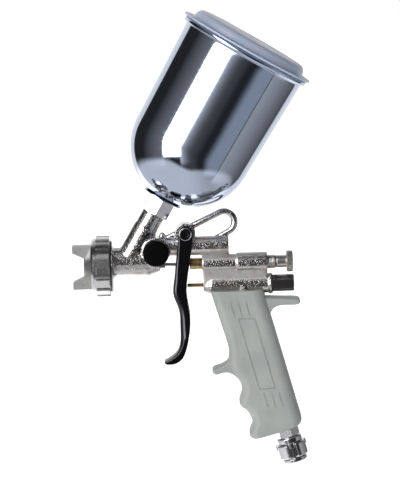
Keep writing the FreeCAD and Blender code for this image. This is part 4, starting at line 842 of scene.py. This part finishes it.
class SPRAYGUN_OT_studio(Operator):
    """Pale floor, soft studio light all round and the camera"""

    bl_idname = "spray_gun.studio"
    bl_label = "Studio"

    def execute(self, context):
        look = context.scene.spray_gun.studio
        context.scene.view_settings.view_transform = "Standard"
        self.camera(context, look)
        self.floor(context)
        self.surroundings(context, look)
        return {"FINISHED"}

    def camera(self, context, look):
        low, high = CAD_BOX
        aim = (low + high) / 2 + look.aim
        back = Vector((
            math.sin(look.azimuth) * math.cos(look.elevation),
            -math.cos(look.azimuth) * math.cos(look.elevation),
            math.sin(look.elevation),
        ))
        data = bpy.data.cameras.new("camera")
        data.lens = look.lens
        data.sensor_width = 36.0
        data.dof.use_dof = False
        camera = bpy.data.objects.new("camera", data)
        context.scene.collection.objects.link(camera)
        camera.location = aim + back * look.distance
        camera.rotation_mode = "QUATERNION"
        lean = Quaternion((0.0, 0.0, 1.0), -look.roll)
        camera.rotation_quaternion = (-back).to_track_quat("-Z", "Y") @ lean
        context.scene.camera = camera

    def floor(self, context):
        low = CAD_BOX[0].z - MM
        reach = 6.0
        mesh = bpy.data.meshes.new("floor")
        corners = [(x * reach, y * reach, low) for x, y in ((-1, -1), (1, -1), (1, 1), (-1, 1))]
        mesh.from_pydata(corners, [], [(0, 1, 2, 3)])
        material, nodes, shader, where = finish_named(
            "studio_floor", 0.0, Roughness=0.8, Emission_Strength=0.8,
        )
        shader.inputs["Emission Color"].default_value = (1.0, 1.0, 1.0, 1.0)
        paper = nodes.noise(where, 40 * MM, detail=2.0)
        shades = opaque((0.86, 0.86, 0.86)), opaque((0.9, 0.9, 0.9))
        nodes.feed(shader.inputs["Base Color"], nodes.mix(paper, *shades))
        mesh.materials.append(material)
        floor = bpy.data.objects.new("floor", mesh)
        context.scene.collection.objects.link(floor)
        floor.visible_glossy = False

    def surroundings(self, context, look):
        """Dark room with a softbox, side panels, a white backdrop and a white table below."""
        world = bpy.data.worlds.new("studio")
        world.use_nodes = True
        context.scene.world = world
        nodes = Nodes(world.node_tree)
        nodes.tree.nodes.clear()
        view = nodes.add("ShaderNodeTexCoord").outputs["Generated"]
        parts = nodes.add("ShaderNodeSeparateXYZ", {0: view})
        x, y, z = parts.outputs
        towards = nodes.math("MULTIPLY", y, -1.0)
        leftwards = nodes.math("MULTIPLY", x, -1.0)
        bearing = nodes.math("DEGREES", nodes.math("ARCTAN2", leftwards, towards))
        height = nodes.math("DEGREES", nodes.math("ARCSINE", z))

        def window(value, low, low_soft, high, high_soft):
            rise = nodes.spread(value, low - low_soft, low + low_soft)
            fall = nodes.spread(value, high - high_soft, high + high_soft, 1.0, 0.0)
            return nodes.math("MULTIPLY", rise, fall)

        def panel(strength, *masks):
            whole = strength
            for mask in masks:
                whole = nodes.math("MULTIPLY", whole, mask)
            return whole

        def slope(value, low, high, to_low, to_high):
            return nodes.spread(value, low, high, to_low, to_high, smooth=False)

        softbox = panel(
            look.key, window(bearing, 22.0, 3.0, 56.5, 0.7), window(height, -13.0, 3.0, 52.0, 6.0),
        )
        fall_off = nodes.math("POWER", slope(bearing, -6.0, 21.0, 0.0, 1.0), 3.0)
        glow_right = panel(
            0.75, fall_off, window(bearing, -6.0, 0.1, 23.0, 2.0), window(height, -28.0, 6.0, 52.0, 10.0),
        )
        haze_right = panel(0.05, window(bearing, -8.0, 6.0, 23.0, 2.0), window(height, -40.0, 6.0, 34.0, 6.0))
        glow_left = panel(
            slope(bearing, 58.0, 104.0, 0.24, 0.0),
            window(bearing, 55.0, 1.0, 118.0, 5.0), window(height, -28.0, 8.0, 60.0, 10.0),
        )
        blue_panel = panel(
            0.40, window(bearing, -59.0, 0.8, -28.0, 9.0), window(height, -50.0, 5.0, -12.0, 5.0),
        )
        right_panel = panel(
            slope(bearing, -130.0, -61.0, 0.12, 0.50),
            window(bearing, -136.0, 4.0, -61.0, 0.8), window(height, -60.0, 8.0, 10.0, 12.0),
        )
        left_limit = nodes.math("MULTIPLY", nodes.math("MAXIMUM", leftwards, 0.0), 0.92)
        right_limit = nodes.math("MULTIPLY", nodes.math("MAXIMUM", x, 0.0), 0.9)
        edge = nodes.math("SUBTRACT", y, nodes.math("ADD", left_limit, right_limit))
        backdrop = panel(1.0, nodes.spread(edge, 0.09, 0.15), nodes.spread(height, 25.0, 60.0, 1.0, 0.45))
        horizon = nodes.spread(bearing, 0.0, 60.0, -42.0, -17.0)
        above_table = nodes.math("SUBTRACT", height, horizon)
        table = panel(
            0.86, nodes.spread(above_table, -5.0, 5.0, 1.0, 0.0), nodes.spread(x, -0.2, 0.7, 1.0, 0.55),
        )
        white = nodes.math("ADD", nodes.math("ADD", softbox, backdrop), nodes.math("ADD", haze_right, table))
        glow = nodes.math("ADD", nodes.math("ADD", glow_right, glow_left), right_panel)
        front_glow = panel(
            0.30, window(bearing, -70.0, 15.0, 22.0, 4.0), window(height, 38.0, 4.0, 54.0, 4.0),
        )
        darkest = 0.03
        plain = nodes.math("ADD", nodes.math("ADD", white, glow), nodes.math("ADD", front_glow, darkest))
        grey = nodes.add("ShaderNodeCombineColor", {"Red": plain, "Green": plain, "Blue": plain}).outputs[0]
        tint = nodes.mix(blue_panel, (0.0, 0.0, 0.0, 1.0), (0.90, 1.0, 1.12, 1.0))
        room = nodes.add("ShaderNodeVectorMath", {0: grey, 1: tint}, operation="ADD").outputs[0]
        seen = nodes.add("ShaderNodeLightPath").outputs["Is Camera Ray"]
        shown = nodes.mix(seen, room, (1.0, 1.0, 1.0, 1.0))
        background = nodes.add("ShaderNodeBackground", {"Color": shown, "Strength": 1.0})
        output = nodes.add("ShaderNodeOutputWorld")
        nodes.feed(output.inputs["Surface"], background.outputs[0])


STEPS = (
    SPRAYGUN_OT_studio,
    SPRAYGUN_OT_casting,
    SPRAYGUN_OT_grip,
    SPRAYGUN_OT_trigger,
    SPRAYGUN_OT_cup,
    SPRAYGUN_OT_lid,
    SPRAYGUN_OT_head,
    SPRAYGUN_OT_needle,
    SPRAYGUN_OT_fluid_knob,
    SPRAYGUN_OT_fan_control,
    SPRAYGUN_OT_air_valve,
    SPRAYGUN_OT_inlet,
)


class SPRAYGUN_PT_sidebar(Panel):
    """Settings and steps of the spray gun"""

    bl_label = "Spray Gun"
    bl_idname = "SPRAYGUN_PT_sidebar"
    bl_space_type = "VIEW_3D"
    bl_region_type = "UI"
    bl_category = "Spray Gun"

    def draw(self, context):
        layout = self.layout
        gun = context.scene.spray_gun
        for group in SprayGunSettings.__annotations__:
            column = layout.column(align=True)
            column.label(text=group.capitalize())
            settings = getattr(gun, group)
            for name in type(settings).__annotations__:
                column.prop(settings, name)
        for step in STEPS:
            layout.operator(step.bl_idname)


CLASSES = (
    CastingSettings,
    GripSettings,
    TriggerSettings,
    CupSettings,
    LidSettings,
    MetalSettings,
    StudioSettings,
    SprayGunSettings,
    *STEPS,
    SPRAYGUN_PT_sidebar,
)


def register():
    for cls in CLASSES:
        bpy.utils.register_class(cls)
    bpy.types.Scene.spray_gun = PointerProperty(type=SprayGunSettings)


def unregister():
    del bpy.types.Scene.spray_gun
    for cls in reversed(CLASSES):
        bpy.utils.unregister_class(cls)


def main():
    register()
    for step in STEPS:
        group, name = step.bl_idname.split(".")
        getattr(getattr(bpy.ops, group), name)()
    shown = {node: piece for node, piece in frame["nodes"].items() if not piece.hide_render}
    bare = [node for node, piece in shown.items() if not piece.material_slots]
    if bare:
        raise RuntimeError("pieces with no finish: " + ", ".join(bare))


if __name__ == "__main__":
    main()
